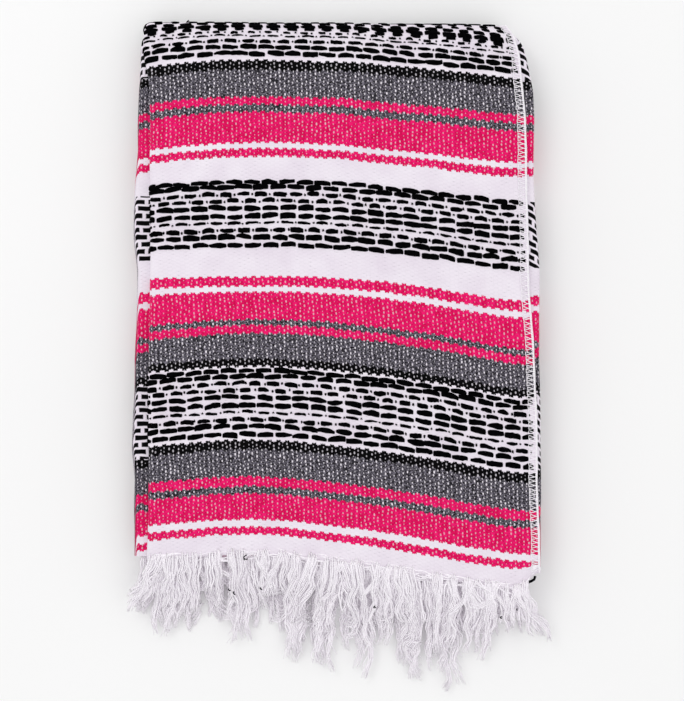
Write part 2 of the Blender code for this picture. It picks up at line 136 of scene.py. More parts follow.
# The weft bows: how far each line of weft lies towards -Y, at six places along the cloth
BOW_ROWS = (
    # v, then (x, drop) across the width
    (0.0, ((-170, 6.9), (-130, 3.6), (-100, 1.0), (-70, 0.2), (-40, 2.0), (-10, 5.6), (20, 9.3),
           (50, 13.7), (80, 19.0), (110, 24.8), (140, 28.6), (170, 30.8))),
    (192.0, ((-160, 6.8), (-150, 5.4), (-135, 3.6), (-120, 2.7), (-106, 1.5), (-91, 0.7), (-76, 0.0),
             (-47, 0.4), (-18, 1.4), (-3, 2.8), (11, 4.2), (26, 5.8), (41, 7.2), (55, 9.8), (70, 11.3),
             (85, 13.4), (99, 16.0), (114, 18.8), (129, 22.1), (143, 24.4), (160, 25.6))),
    (225.5, ((-160, 2.6), (-150, 1.7), (-135, 0.8), (-106, 0.1), (-76, 0.0), (-47, -0.4), (-18, -0.1),
             (-3, 1.0), (11, 1.7), (26, 3.2), (41, 4.4), (55, 6.2), (70, 8.3), (85, 10.2), (99, 12.7),
             (114, 15.0), (129, 17.6), (143, 19.0), (160, 19.8))),
    (331.0, ((-160, 6.4), (-150, 5.1), (-135, 3.5), (-120, 2.7), (-106, 1.4), (-91, 0.7), (-62, -0.2),
             (-33, 0.2), (-4, 1.2), (11, 2.8), (26, 4.3), (41, 6.1), (55, 7.3), (70, 8.4), (85, 10.2),
             (99, 12.1), (114, 13.3), (129, 15.2), (143, 15.9), (160, 16.4))),
    (373.0, ((-160, 7.8), (-150, 6.0), (-135, 3.5), (-120, 2.6), (-106, 1.5), (-91, 0.9), (-62, -0.1),
             (-33, 0.9), (-4, 1.4), (11, 2.2), (26, 4.2), (41, 5.9), (55, 7.1), (70, 7.8), (85, 8.9),
             (99, 10.3), (114, 11.9), (129, 13.8), (143, 14.9), (160, 16.0))),
    (405.0, ((-160, 6.4), (-153, 5.5), (-124, 2.5), (-98, 0.6), (-61, 0.0), (-24, 0.6), (10, 1.2),
             (43, 4.6), (81, 7.6), (118, 11.6), (143, 14.4), (160, 15.6))),
)
# The plies below: how far their stripes lie towards -Y at their left and right sides, by y
LEFT_DROP = ((5, 15.3), (70, 16.6), (140, 16.5), (177, 14.9), (212, 12.5),
             (285, 10.8), (330, 11.6), (360, 12.4), (390, 12.6), (440, 10.5))
RIGHT_DROP = ((0, 27.0), (100, 23.5), (160, 19.5), (174, 17.9), (210, 15.0), (231, 16.6), (286, 16.2),
              (316, 14.5), (355, 14.6), (385, 15.6), (440, 12.0))

# The weave
WARP_PITCH = 3.58
PICK_PAIR = 3.15
BAND_CENTRE = 430.1
STRIPES = (
    # distance from the band at the top fold, yarn from there on
    (0.0, "white"), (27.8, "black"), (35.6, "grey"), (57.3, "pink"), (63.8, "grey"),
    (69.9, "pink"), (95.1, "white"), (99.8, "pink"), (106.5, "white"), (204.2, "pink"),
    (211.6, "white"), (216.3, "pink"), (238.4, "grey"), (243.1, "pink"), (249.9, "grey"),
    (270.3, "black"), (276.3, "white"), (336.5, "black"), (344.0, "grey"), (366.4, "pink"),
    (374.3, "grey"), (380.1, "pink"), (401.1, "white"), (406.9, "pink"), (413.2, "white"),
)
FLOAT_BANDS = (
    # distance of the first row of floats from the band at the top fold, phase
    (280.2, 0.37),
    (126.9, 0.57),
)
RAISED_BANDS = (
    # distance of a float band's middle from the band at the top fold, half width
    (0.0, 28.0), (153.0, 27.0), (306.8, 30.5),
)
PAINTED_BORDERS = (
    # where the hidden plies' float bands end (-1) and start (1), from the band at the top fold
    (28.0, -1.0), (126.0, 1.0), (180.0, -1.0), (277.0, 1.0), (336.5, -1.0), (433.0, 1.0),
)
HEM_LINE = -2.5  # the hidden plies' stripes stop at this line of weft, in the white
STITCH_PITCH = 3.5  # of the overlock, along the edge
UNDER_FLOATS_FROM = 480.0  # floats from this line of weft on are a piece of their own
FLOAT_PITCH = 4 * WARP_PITCH
FLOAT_CHART = (
    # step from the first row, phase, length, half width, dot in the gap
    (0.0, 0.0, 13.4, 2.0, False),
    (4.4, 0.5, 13.4, 2.1, False),
    (10.2, 0.5, 9.6, 1.85, True),
    (15.6, 0.08, 9.4, 1.75, True),
    (21.4, 0.0, 13.2, 2.25, False),
    (27.8, 0.0, 13.2, 2.15, False),
    (33.4, 0.05, 9.6, 1.2, True),
    (39.4, 0.5, 10.2, 1.9, True),
    (45.0, 0.5, 13.2, 2.25, False),
    (51.6, 0.0, 13.3, 2.1, False),
)

TOP_CHART = (
    # distance from the middle of the band at the top fold, phase, length, half width, dot in the gap
    (-22.2, 0.08, 13.4, 2.2, False),
    (-16.5, 0.58, 13.2, 2.2, False),
    (-11.2, 0.6, 10.0, 1.75, True),
    (-6.0, 0.2, 9.0, 0.8, True),
    (-2.4, 0.4, 6.0, 1.3, True),
    (1.6, 0.06, 7.6, 2.3, False),
    (5.4, 0.1, 12.4, 2.7, False),
    (10.2, 0.12, 9.0, 2.4, False),
    (14.6, 0.6, 6.5, 1.8, False),
    (19.6, 0.62, 7.5, 2.0, False),
    (24.6, 0.06, 12.5, 1.9, False),
)

# Creases of the outer ply
CREASES = (
    # from u, s to u, s, half width, height
    (20.0, 60.0, 120.0, 120.0, 7.0, -0.7),
    (250.0, 10.0, 305.0, 60.0, 6.0, 0.8),
    (180.0, -5.0, 215.0, 70.0, 7.0, -0.6),
    (60.0, 230.0, 150.0, 330.0, 9.0, 0.6),
    (300.0, 90.0, 285.0, 390.0, 5.0, -0.5),
    (40.0, 330.0, 90.0, 440.0, 8.0, -0.6),
    (10.0, 150.0, 14.0, 400.0, 4.0, 0.5),
)

# Fringe clumps: root from, root to, tip from, tip to, reach on the left, reach on the right
UPPER_CLUMPS = (
    (-153.0, -145.0, -172.0, -164.0, 46.0, 54.0),
    (-145.0, -132.0, -150.0, -138.0, 66.0, 62.0),
    (-132.0, -112.0, -128.0, -118.0, 56.0, 52.0),
    (-112.0, -94.0, -112.0, -98.0, 46.0, 50.0),
    (-94.0, -72.0, -88.0, -74.0, 76.0, 78.0),
    (-72.0, -47.0, -66.0, -50.0, 48.0, 44.0),
    (-47.0, -15.0, -43.0, -31.0, 84.0, 86.0),
    (-15.0, 3.0, -13.0, -7.0, 88.0, 90.0),
    (3.0, 26.0, 12.0, 23.0, 92.0, 95.0),
    (26.0, 44.0, 30.0, 42.0, 66.0, 70.0),
    (44.0, 76.0, 53.0, 73.0, 91.0, 89.0),
    (76.0, 86.0, 84.0, 90.0, 70.0, 74.0),
    (86.0, 103.0, 93.0, 98.0, 92.0, 97.0),
    (103.0, 130.0, 107.0, 127.0, 70.0, 62.0),
    (130.0, 146.0, 132.0, 145.0, 46.0, 38.0),
    (146.0, 153.0, 163.0, 177.0, 50.0, 52.0),
)
LOWER_CLUMPS = (
    (-156.0, -110.0, -168.0, -114.0, 50.0, 64.0),
    (-110.0, -60.0, -108.0, -62.0, 52.0, 68.0),
    (-60.0, -10.0, -54.0, -18.0, 60.0, 76.0),
    (-10.0, 40.0, -8.0, 36.0, 72.0, 80.0),
    (40.0, 95.0, 48.0, 88.0, 84.0, 84.0),
    (95.0, 150.0, 98.0, 158.0, 72.0, 56.0),
)
STRAY_FIBRES = (
    # x, y, height and length of black fibres caught in the fringe and at the top edge
    (-75.0, -2.0, 41.0, 4.5), (-89.0, -30.0, 28.0, 2.5), (-85.0, -33.0, 27.0, 3.0),
    (-63.0, -29.0, 28.0, 2.5), (147.0, -46.0, 30.0, 2.2), (134.0, -53.0, 27.0, 2.0),
    (158.5, -40.0, 28.0, 1.6), (-124.0, 437.0, 19.0, 4.5), (121.0, 434.0, 19.0, 4.5),
    (30.0, -44.0, 30.0, 2.0),
)
CORNER_TUFT = ((155.5, -23.5, 31.0), (158.0, -22.5, 32.0), (160.5, -21.0, 32.0), (161.5, -18.5, 31.0))
FULL_REACH = 62.0

# The photograph's frame, and the size of one of its pixels on the top ply
PHOTO_HEIGHT = 701
PIXEL = 0.814
SENSOR = 36.0
CAMERA_ELEVATION = 89.99
CAMERA_TARGET = (3.3, 2.8, 38.0)


def linear(code):
    """An sRGB hex code as linear red, green and blue."""
    values = [int(code[i:i + 2], 16) / 255.0 for i in (1, 3, 5)]
    return [v / 12.92 if v <= 0.04045 else ((v + 0.055) / 1.055) ** 2.4 for v in values]


def smooth(x):
    """Rises from 0 to 1 with level ends."""
    x = np.clip(x, 0.0, 1.0)
    return x * x * (3.0 - 2.0 * x)


def read_table(x, rows):
    """The value at x, straight between a table's (x, value) rows."""
    return np.interp(x, *np.array(rows, dtype=float).T)


def nose_radius():
    """The nose's radius, from the height that the other arcs of the top fold leave it."""
    turn, left_over, nose_fall = 0.0, THICKNESS, 0.0
    for radius, degrees in FOLD_ARCS:
        fall = math.cos(math.radians(turn)) - math.cos(math.radians(turn + degrees))
        if radius is None:
            nose_fall = fall
        else:
            left_over -= radius * fall
        turn += degrees
    return left_over / nose_fall


def fold_arcs(first_y):
    """The top fold's arcs: turn from, turn to, radius, centre y, centre z."""
    rows = []
    turn, y, z = 0.0, first_y, THICKNESS
    for radius, degrees in FOLD_ARCS:
        radius = nose_radius() if radius is None else radius
        start, stop = math.radians(turn), math.radians(turn + degrees)
        centre_y, centre_z = y - radius * math.sin(start), z - radius * math.cos(start)
        rows.append((turn, turn + degrees, radius, centre_y, centre_z))
        y, z = centre_y + radius * math.sin(stop), centre_z + radius * math.cos(stop)
        turn += degrees
    return rows


FOLD_REACH = fold_arcs(0.0)[NOSE][3] + nose_radius()
STRAIGHT = BACK_TO_HEM - FOLD_REACH
ARCS = fold_arcs(STRAIGHT)
HEEL_END = ARCS[-1][3]
ARC_LENGTHS = [arc[2] * math.radians(arc[1] - arc[0]) for arc in ARCS]
FOLD_LENGTH = sum(ARC_LENGTHS)
UNDER_FROM = STRAIGHT + FOLD_LENGTH
END_FROM = UNDER_FROM + HEEL_END
TUCK_FROM = END_FROM + math.pi * END_RADIUS
PATH_LENGTH = TUCK_FROM + END_TUCK
CREASE_TIP = (HEEL_END, ARCS[NOSE][4] + 1.0)


def fold_turn(s):
    """Turn in degrees at path length s, where the turn grows evenly along each arc."""
    lengths = np.cumsum([STRAIGHT, *ARC_LENGTHS])
    turns = np.array([0.0] + [arc[1] for arc in ARCS])
    return np.interp(s, lengths, turns)


def path(s):
    """(y, z, turn) of the outer face at path length s: level, round the top fold's four arcs,
    back underneath, and half a turn up round the bottom end fold."""
    s = np.asarray(s, dtype=float)
    turn = fold_turn(s)
    angle = np.radians(turn)
    y = np.where(s < STRAIGHT, s, 0.0)
    z = np.where(s < STRAIGHT, THICKNESS, 0.0)
    for start, stop, radius, centre_y, centre_z in ARCS:
        here = (s >= STRAIGHT) & (turn >= start) & (turn <= stop) & (s <= UNDER_FROM)
        y = np.where(here, centre_y + radius * np.sin(angle), y)
        z = np.where(here, centre_z + radius * np.cos(angle), z)
    under = (s > UNDER_FROM) & (s <= END_FROM)
    y = np.where(under, HEEL_END - (s - UNDER_FROM), y)
    z = np.where(under, 0.0, z)
    bend = np.clip((s - END_FROM) / END_RADIUS, 0.0, math.pi)
    ending = s > END_FROM
    beyond = np.maximum(s - TUCK_FROM, 0.0)
    y = np.where(ending, -END_RADIUS * np.sin(bend) + beyond, y)
    z = np.where(ending, END_RADIUS - END_RADIUS * np.cos(bend), z)
    turn = np.where(ending, 180.0 + np.degrees(bend), turn)
    return y, z, turn


def edge_x(name, y, turn):
    """X of an edge at y: read between its rows on top, and no further out underneath than the
    pack's outline above."""
    on_top, leftmost, rightmost = (
        read_table(y, EDGES[edge][0]) for edge in (name, "left inner nest", "right outer nest"))
    underneath = np.clip(EDGES[name][1], leftmost, rightmost)
    under = smooth(np.minimum(turn, 180.0) / 180.0)
    phase = 1.7 * list(EDGES).index(name)
    ripple = np.sin(y / 31.0 + phase) + 0.6 * np.sin(y / 13.0 + 2.0 * phase)
    return on_top + (underneath - on_top) * under + EDGE_RIPPLE * ripple * (1.0 - 0.7 * under)


def settle(x, y, z):
    """The height of a point once the pack has sunk: lower towards the hem and the sides."""
    at_hem = 1.0 - smooth(y / 190.0)
    side = np.minimum((np.abs(x) / 165.0) ** 5, 1.0)
    wave = np.sin(x / 37.0 + y / 83.0) * np.sin(y / 55.0 - x / 120.0)
    return z * (1.0 - 0.12 * at_hem - 0.06 * side + 0.018 * wave)


def hem_drop(x):
    """How far the upper hem lies towards -Y at x."""
    return read_table(x, BOW_ROWS[0][1])


def on_slant(x, ends):
    """A value that runs straight from its left end to its right end across the pack, at x."""
    share = (x - LOWER_LEFT) / QUARTER_WIDTH
    return ends[0] + (ends[1] - ends[0]) * share


def lower_hem_drop(x):
    """How far the lower hem lies towards -Y at x."""
    return on_slant(x, LOWER_HEM)


def end_centre(x):
    """Y of the bottom end fold's axis at x."""
    return on_slant(x, END_CENTRE)


def bow(x, v):
    """Drop of the weft line v at x: interpolated across each row, then between rows."""
    rows = [(row_v, read_table(x, row)) for row_v, row in BOW_ROWS]
    value = rows[0][1]
    for (start, before), (stop, after) in zip(rows, rows[1:]):
        value = value + (after - before) * np.clip((v - start) / (stop - start), 0.0, 1.0)
    return value * (1.0 - smooth((v - STRAIGHT - 60.0) / 300.0))


def shifted_y(x, y):
    """y with the top fold's slant: the fold lies further towards -Y at the right."""
    return y - FOLD_SLANT * (x + 160.0) / 320.0 * smooth((y - 380.0) / 55.0)


def corner_rise(x):
    """How far the hem's right corner is rounded off, at x."""
    return CORNER_RISE * smooth((x - 146.0) / 18.0)


def opening(s):
    """(curl in radians, tuck) of the left folded edge, which opens flat underneath."""
    y, _, _ = path(s)
    share = np.where(s > UNDER_FROM, smooth((y - END_START) / OPENING_LENGTH), 1.0)
    share = np.where(s > END_FROM, 0.0, share)
    curl = FLAT_CURL + (180.0 - FLAT_CURL) * share
    flat = 1.0 - smooth(curl / 60.0)
    tuck = SHORT_TUCK + (CURL_RADIUS - 1.0 - SHORT_TUCK) * flat
    tuck = np.where(share >= 1.0, CURL_TUCK, tuck)
    return np.radians(curl), tuck


def edge_at(name, s):
    """X of an edge at path length s. Round the end fold it stays as it is at y = 0."""
    y, _, turn = path(s)
    return edge_x(name, np.where(s > END_FROM, 0.0, y), turn)


def flat_width(s):
    """(x of the first warp, x of the curl's axis, width between them) of the outer ply."""
    left, right = edge_at("left outer nest", s), edge_at("warp line", s)
    return right, left + CURL_RADIUS, right - left - CURL_RADIUS


def pulled_in(s):
    """How far the overlocked edge is drawn in from the straight warp line."""
    return edge_at("warp line", s) - edge_at("right overlocked edge", s)


def on_cloth(u, s, lift):
    """A point of the outer ply at u across, s along and lift above its outer face.

    Across: level from the overlocked edge to the curl's axis, round the curl on a circle, then
    straight into the tuck. The section is then carried along the path and settles. Underneath,
    the face and what lies on it are pressed flat, so that nothing sinks below the floor.
    """
    u, s, lift = np.broadcast_arrays(
        np.asarray(u, dtype=float), np.asarray(s, dtype=float), np.asarray(lift, dtype=float)
    )
    pressed = smooth((s - UNDER_FROM + 25.0) / 25.0)
    sunk = UNDER_PRESS * np.clip(1.0 + lift / PLY, 0.0, 1.0) + 0.45 * np.maximum(lift, 0.0)
    lift = lift - pressed * sunk
    y, z, turn = path(s)
    right, axis, flat = flat_width(s)
    curl, _ = opening(s)
    arc = np.clip((u - flat) / CURL_RADIUS, 0.0, curl)
    beyond = np.maximum(u - flat - CURL_RADIUS * curl, 0.0)
    radius = CURL_RADIUS + lift
    level = right - u - pulled_in(s) * (1.0 - smooth(u / PULLED_WIDTH))
    x = np.where(u < flat, level, axis - radius * np.sin(arc) - beyond * np.cos(arc))
    depth = np.where(u < flat, -lift, CURL_RADIUS - radius * np.cos(arc) + beyond * np.sin(arc))
    angle = np.radians(turn)
    here_y = y - np.sin(angle) * depth + np.where(s > END_FROM, end_centre(x), 0.0)
    here_y = here_y + corner_rise(x) * (1.0 - smooth((s + 30.0) / 26.0))
    z = z - np.cos(angle) * depth
    return np.stack([x, shifted_y(x, here_y), settle(x, here_y, z)], axis=-1)


def s_of(u, v):
    """Path length of the weft line v at u: v less the bow there."""
    s = np.array(v, dtype=float)
    for _ in range(4):
        right, _, _ = flat_width(s)
        s = v - bow(np.maximum(right - u, -160.0), v)
    return s


def v_of(u, s):
    """The weft line that passes u and s, found by repeating the bow's value."""
    right, _, _ = flat_width(s)
    x = np.maximum(right - u, -160.0)
    v = np.array(s, dtype=float)
    for _ in range(8):
        v = s + bow(x, v)
    return v


SHIFT = np.array([0.0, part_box("outer_layer")[1].y / MM - SOLID_BACK, 0.0])


def make_piece(name, material, points, groups, uvs, weld=False, sharp=None):
    """A closed, smooth mesh object from points in millimetres and arrays of faces.

    groups are arrays with one row a face. uvs, one pair a point, go into the map "cloth".
    """
    corners = np.concatenate([group.ravel() for group in groups]).astype(np.int32)
    totals = np.concatenate([np.full(len(group), group.shape[1]) for group in groups])
    starts = np.concatenate([[0], np.cumsum(totals)[:-1]]).astype(np.int32)
    mesh = bpy.data.meshes.new(name)
    mesh.vertices.add(len(points))
    mesh.vertices.foreach_set("co", ((points + SHIFT) * MM).astype(np.float32).ravel())
    mesh.loops.add(len(corners))
    mesh.loops.foreach_set("vertex_index", corners)
    mesh.polygons.add(len(totals))
    mesh.polygons.foreach_set("loop_start", starts)
    mesh.update(calc_edges=True)
    layer = mesh.uv_layers.new(name="cloth")
    layer.data.foreach_set("uv", uvs[corners].astype(np.float32).ravel())
    shape = bmesh.new()
    shape.from_mesh(mesh)
    if weld:
        bmesh.ops.remove_doubles(shape, verts=shape.verts, dist=0.01 * MM)
    bmesh.ops.recalc_face_normals(shape, faces=shape.faces)
    shape.to_mesh(mesh)
    shape.free()
    mesh.materials.append(material)
    mesh.shade_smooth()
    if sharp is not None:
        mesh.set_sharp_from_angle(angle=math.radians(sharp))
    piece = bpy.data.objects.new(name, mesh)
    bpy.context.scene.collection.objects.link(piece)
    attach(piece, "root")
    return piece


def grid_faces(rows, columns, closed=False):
    """Quads of a grid of points, row by row; closed joins the last column to the first."""
    count = columns if closed else columns - 1
    row, column = np.meshgrid(np.arange(rows - 1), np.arange(count), indexing="ij")
    following = (column + 1) % columns
    first, second = row * columns, (row + 1) * columns
    quads = np.stack([first + column, first + following, second + following, second + column])
    return quads.reshape(4, -1).T


def tube_faces(count, steps, sides):
    """Faces of many tubes of steps rings each: quads along them, and one face at either end."""
    offsets = np.arange(count)[:, None, None] * steps * sides
    body = grid_faces(steps, sides, closed=True)[None] + offsets
    first = np.arange(sides)[None] + offsets[:, 0]
    return [body.reshape(-1, 4), np.concatenate([first, first + (steps - 1) * sides])]


def tubes(paths, radius, sides, squash=1.0):
    """Closed tubes along many paths at once.

    paths is (tube, point, 3). A ring lies across each point, level to the side and upright
    otherwise, and a face closes each end. The map holds length round and length along.
    """
    paths = np.asarray(paths, dtype=float)
    count, steps, _ = paths.shape
    radius = np.broadcast_to(radius, (count, steps))
    along = np.gradient(paths, axis=1)
    along /= np.linalg.norm(along, axis=2, keepdims=True) + 1e-9
    side = np.cross(along, np.array([0.0, 0.0, 1.0]))
    side /= np.linalg.norm(side, axis=2, keepdims=True) + 1e-9
    up = np.cross(side, along)
    angle = np.linspace(0.0, 2.0 * math.pi, sides, endpoint=False)
    ring = (side[:, :, None] * np.cos(angle)[None, None, :, None]
            + up[:, :, None] * np.sin(angle)[None, None, :, None] * squash)
    points = paths[:, :, None] + ring * radius[:, :, None, None]
    far = np.cumsum(np.linalg.norm(np.diff(paths, axis=1, prepend=paths[:, :1]), axis=2), axis=1)
    round_ = np.broadcast_to(angle / (2.0 * math.pi), (count, steps, sides))
    number = np.arange(count)[:, None, None] * 7.3
    uvs = np.stack([round_ + number, np.broadcast_to(far[:, :, None], round_.shape)], axis=-1)
    return points.reshape(-1, 3), tube_faces(count, steps, sides), uvs.reshape(-1, 2)


def joined(parts):
    """Several (points, groups, uvs) as one: numbers shifted, groups of like faces kept."""
    points, groups, uvs, base = [], [], [], 0
    for part_points, part_groups, part_uvs in parts:
        points.append(part_points)
        groups += [group + base for group in part_groups]
        uvs.append(part_uvs)
        base += len(part_points)
    return np.concatenate(points), groups, np.concatenate(uvs)


def relief(u, s):
    """Soft shape of the outer ply: float bands a little thick, listed creases, and waves."""
    c = np.abs(v_of(u, s) - BAND_CENTRE)
    height = np.zeros_like(c)
    for centre, half in RAISED_BANDS:
        height += 0.55 * (1.0 - smooth((np.abs(c - centre) - half + 3.0) / 6.0))
    height += 0.35 * np.sin(u / 23.0 + s / 41.0) * np.sin(s / 17.0 - u / 60.0)
    for u_0, s_0, u_1, s_1, width, depth in CREASES:
        length = math.hypot(u_1 - u_0, s_1 - s_0)
        along = ((u - u_0) * (u_1 - u_0) + (s - s_0) * (s_1 - s_0)) / length
        aside = ((u - u_0) * (s_1 - s_0) - (s - s_0) * (u_1 - u_0)) / length
        ends = smooth(along / 25.0) * smooth((length - along) / 25.0)
        height += depth * np.exp(-(aside / width) ** 2) * ends
    return height * smooth(u / 9.0) * (1.0 - smooth((s - UNDER_FROM + 35.0) / 35.0))


def plug(node, values):
    """Sets or links a node's inputs, each by its number or name."""
    for key, value in values.items():
        if isinstance(value, bpy.types.Node):
            value = value.outputs[0]
        if isinstance(value, bpy.types.NodeSocket):
            node.id_data.links.new(value, node.inputs[key])
        else:
            node.inputs[key].default_value = value


def add_node(tree, kind, *inputs, sockets=None, **settings):
    """Adds one node, gives it its settings, and sets or links its inputs in order or by name.
    A second word in kind is the node's operation."""
    kind, *operation = kind.split()
    node = tree.nodes.new("ShaderNode" + kind)
    if operation:
        node.operation = operation[0]
    for name, value in settings.items():
        setattr(node, name, value)
    plug(node, {**dict(enumerate(inputs)), **(sockets or {})})
    return node


def new_material(name):
    """(material, node, shader): node adds nodes to the material's tree, and shader is its
    Principled shader, linked to the output."""
    material = bpy.data.materials.new(name)
    material.use_nodes = True
    material.node_tree.nodes.clear()
    node = partial(add_node, material.node_tree)
    shader = node("BsdfPrincipled")
    node("OutputMaterial", shader)
    return material, node, shader


def falsa_cloth(name, painted_floats):
    """Falsa: cotton and acrylic yarn in a weft-faced plain weave, so beads of coloured weft
    stand in columns with a dot of white warp between them, matt, with a soft uneven hand.

    painted_floats draws the black floats too, for plies that have no floats of their own.
    """
    looks = bpy.context.scene.falsa_looks
    material, node, shader = new_material(name)
    place = node("UVMap", uv_map="cloth")
    # Yarn of uneven thickness pushes rows and columns about by up to half a millimetre.
    drift = node("TexNoise", place, sockets={"Scale": 0.07, "Detail": 2.0})
    pushed = node("VectorMath SUBTRACT", drift.outputs["Color"], (0.5, 0.5, 0.5))
    pushed = node("VectorMath MULTIPLY", pushed, (2.2, 2.4, 0.0))
    split = node("SeparateXYZ", node("VectorMath ADD", place, pushed))
    u, v = split.outputs["X"], split.outputs["Y"]
    from_band = node("Math SUBTRACT", v, BAND_CENTRE)
    column_at = node("Math DIVIDE", u, WARP_PITCH)
    column = node("Math FLOOR", column_at)
    aside = node("Math SUBTRACT", node("Math FRACT", column_at), 0.5)
    stagger = node("Math MULTIPLY", node("Math FLOORED_MODULO", column, 2.0), 0.5)
    pick_at = node("Math ADD", node("Math DIVIDE", from_band, PICK_PAIR), stagger)
    bead = node("Math ROUND", pick_at)
    along = node("Math SUBTRACT", pick_at, bead)
    # Fibres lie along the weft: about 1.6 mm long and 0.4 mm thick.
    fibre = node("VectorMath MULTIPLY", place, (0.6, 2.4, 1.0))
    fibre = node("TexNoise", fibre, sockets={"Scale": 1.0, "Detail": 3.0, "Roughness": 0.6}).outputs["Fac"]
    # A border steps from column to column, because a bead takes most of its yarn from one pick.
    bead_v = node("Math MULTIPLY_ADD", along, -0.55 * PICK_PAIR, v)
    bead_v = node("Math MULTIPLY_ADD", fibre, 1.3, bead_v)
    stripe_at = node("Math ABSOLUTE", node("Math SUBTRACT", bead_v, BAND_CENTRE + 0.65))
    chance = node("TexWhiteNoise", node("CombineXYZ", column, bead), noise_dimensions="2D")
    chances = node("SeparateColor", chance.outputs["Color"])

    # Which yarn a bead has: red stands for pink, green for grey and blue for black.
    codes = {"white": (0, 0, 0, 1), "pink": (1, 0, 0, 1), "grey": (0, 1, 0, 1), "black": (0, 0, 1, 1)}
    kind = codes["white"]
    for border, yarn in STRIPES[1:]:
        kind = node("MixRGB", node("Math GREATER_THAN", stripe_at, border), kind, codes[yarn])
    is_pink, is_grey, is_black = list(node("SeparateColor", kind).outputs)[:3]

    tone = node("Math ADD", fibre, node("Math MULTIPLY", chance.outputs["Value"], 0.2))
    tone = node("MapRange", tone, 0.42, 0.76, 0.0, 1.0)
    pink = node("MixRGB", tone, (*looks.pink_dark, 1), (*looks.pink_light, 1))
    # Recycled grey yarn is mottled every 2 mm, with pale tufts and a few black ones.
    mottled = node("VectorMath MULTIPLY", place, (0.5, 0.65, 1.0))
    mottled = node("TexNoise", mottled, sockets={"Scale": 1.0, "Detail": 2.0, "Roughness": 0.7})
    tone = node("MapRange", mottled.outputs["Fac"], 0.42, 0.62, 0.0, 1.0)
    grey = node("MixRGB", tone, (*looks.grey_dark, 1), (*looks.grey_light, 1))
    tuft = node("MapRange", fibre, 0.58, 0.66, 0.0, 0.8)
    grey = node("MixRGB", tuft, grey, (*linear("#C4C0C9"), 1))
    tuft = node("MapRange", chances.outputs[1], 0.975, 0.99, 0.0, 0.8)
    grey = node("MixRGB", tuft, grey, (*linear("#17171C"), 1))
    cloudy = node("TexNoise", place, sockets={"Scale": 0.035, "Detail": 2.0})
    tone = node("MapRange", cloudy.outputs["Fac"], 0.3, 0.7, 0.0, 1.0)
    white = node("MixRGB", tone, (*looks.white_shade, 1), (*looks.white, 1))
    # Here and there a tiny grey speck shows between the white beads.
    speck = node("Math GREATER_THAN", chances.outputs[2], 0.86)
    between = node("MapRange", node("Math ABSOLUTE", along), 0.36, 0.5, 0.0, 0.42)
    narrow = node("MapRange", node("Math ABSOLUTE", aside), 0.12, 0.26, 1.0, 0.0)
    speck = node("Math MULTIPLY", node("Math MULTIPLY", speck, between), narrow)
    white = node("MixRGB", speck, white, (*linear("#8B8590"), 1))
    colour = node("MixRGB", is_pink, white, pink)
    colour = node("MixRGB", is_grey, colour, grey)
    colour = node("MixRGB", is_black, colour, (*looks.black, 1))

    # A bead is a rounded hump: a cosine along the column times a flatter one across it.
    hump = node("Math COSINE", node("Math MULTIPLY", along, math.pi))
    across = node("Math COSINE", node("Math MULTIPLY", aside, math.pi))
    hump = node("Math MULTIPLY", hump, node("Math POWER", across, 0.22))
    # Painted shade: the colour is darkened in the dips between beads, darkest in grey and only a little in
    # white.
    deepest_shade = node("Math MULTIPLY_ADD", is_grey, -0.45, 0.78)
    hollow_shade = node("MapRange", hump, 0.0, 0.6, deepest_shade, 1.0)
    shade = node("MapRange", hump, 0.0, 0.7, 0.965, 1.0)
    coloured = node("Math ADD", is_pink, is_grey)
    shade = node("MixRGB", coloured, shade, hollow_shade)
    colour = node("MixRGB", 1.0, colour, shade, blend_type="MULTIPLY")

    # The white warp shows as a dot where two beads of one column meet.
    gap = node("Math FLOOR", pick_at)
    gap_chance = node("TexWhiteNoise", node("CombineXYZ", column, gap, 3.0), noise_dimensions="3D")
    gap_chances = node("SeparateColor", gap_chance.outputs["Color"])
    dot_u = node("Math MULTIPLY_ADD", gap_chances.outputs[0], 0.34, aside)
    dot_u = node("Math MULTIPLY", node("Math SUBTRACT", dot_u, 0.17), WARP_PITCH)
    dot_v = node("Math MULTIPLY_ADD", gap_chances.outputs[1], 0.26, node("Math FRACT", pick_at))
    dot_v = node("Math MULTIPLY", node("Math SUBTRACT", dot_v, 0.63), PICK_PAIR * 0.66)
    dot_far = node("VectorMath LENGTH", node("CombineXYZ", dot_u, dot_v)).outputs["Value"]
    dot_size = node("MapRange", gap_chances.outputs[2], 0.0, 1.0, 0.26, 0.7)
    dot = node("MapRange", node("Math SUBTRACT", dot_size, dot_far), -0.12, 0.14, 0.0, 1.0)
    coloured = node("Math ADD", coloured, is_black)
    dot_tone = node("MapRange", gap_chance.outputs["Value"], 0.0, 1.0, 0.72, 1.0)
    by_yarn = node("Math MULTIPLY_ADD", is_pink, -0.48, 1.0)
    by_yarn = node("Math MULTIPLY_ADD", is_black, -0.35, by_yarn)
    for weight in (coloured, dot_tone, by_yarn):
        dot = node("Math MULTIPLY", dot, weight)
    colour = node("MixRGB", dot, colour, (*looks.white, 1))

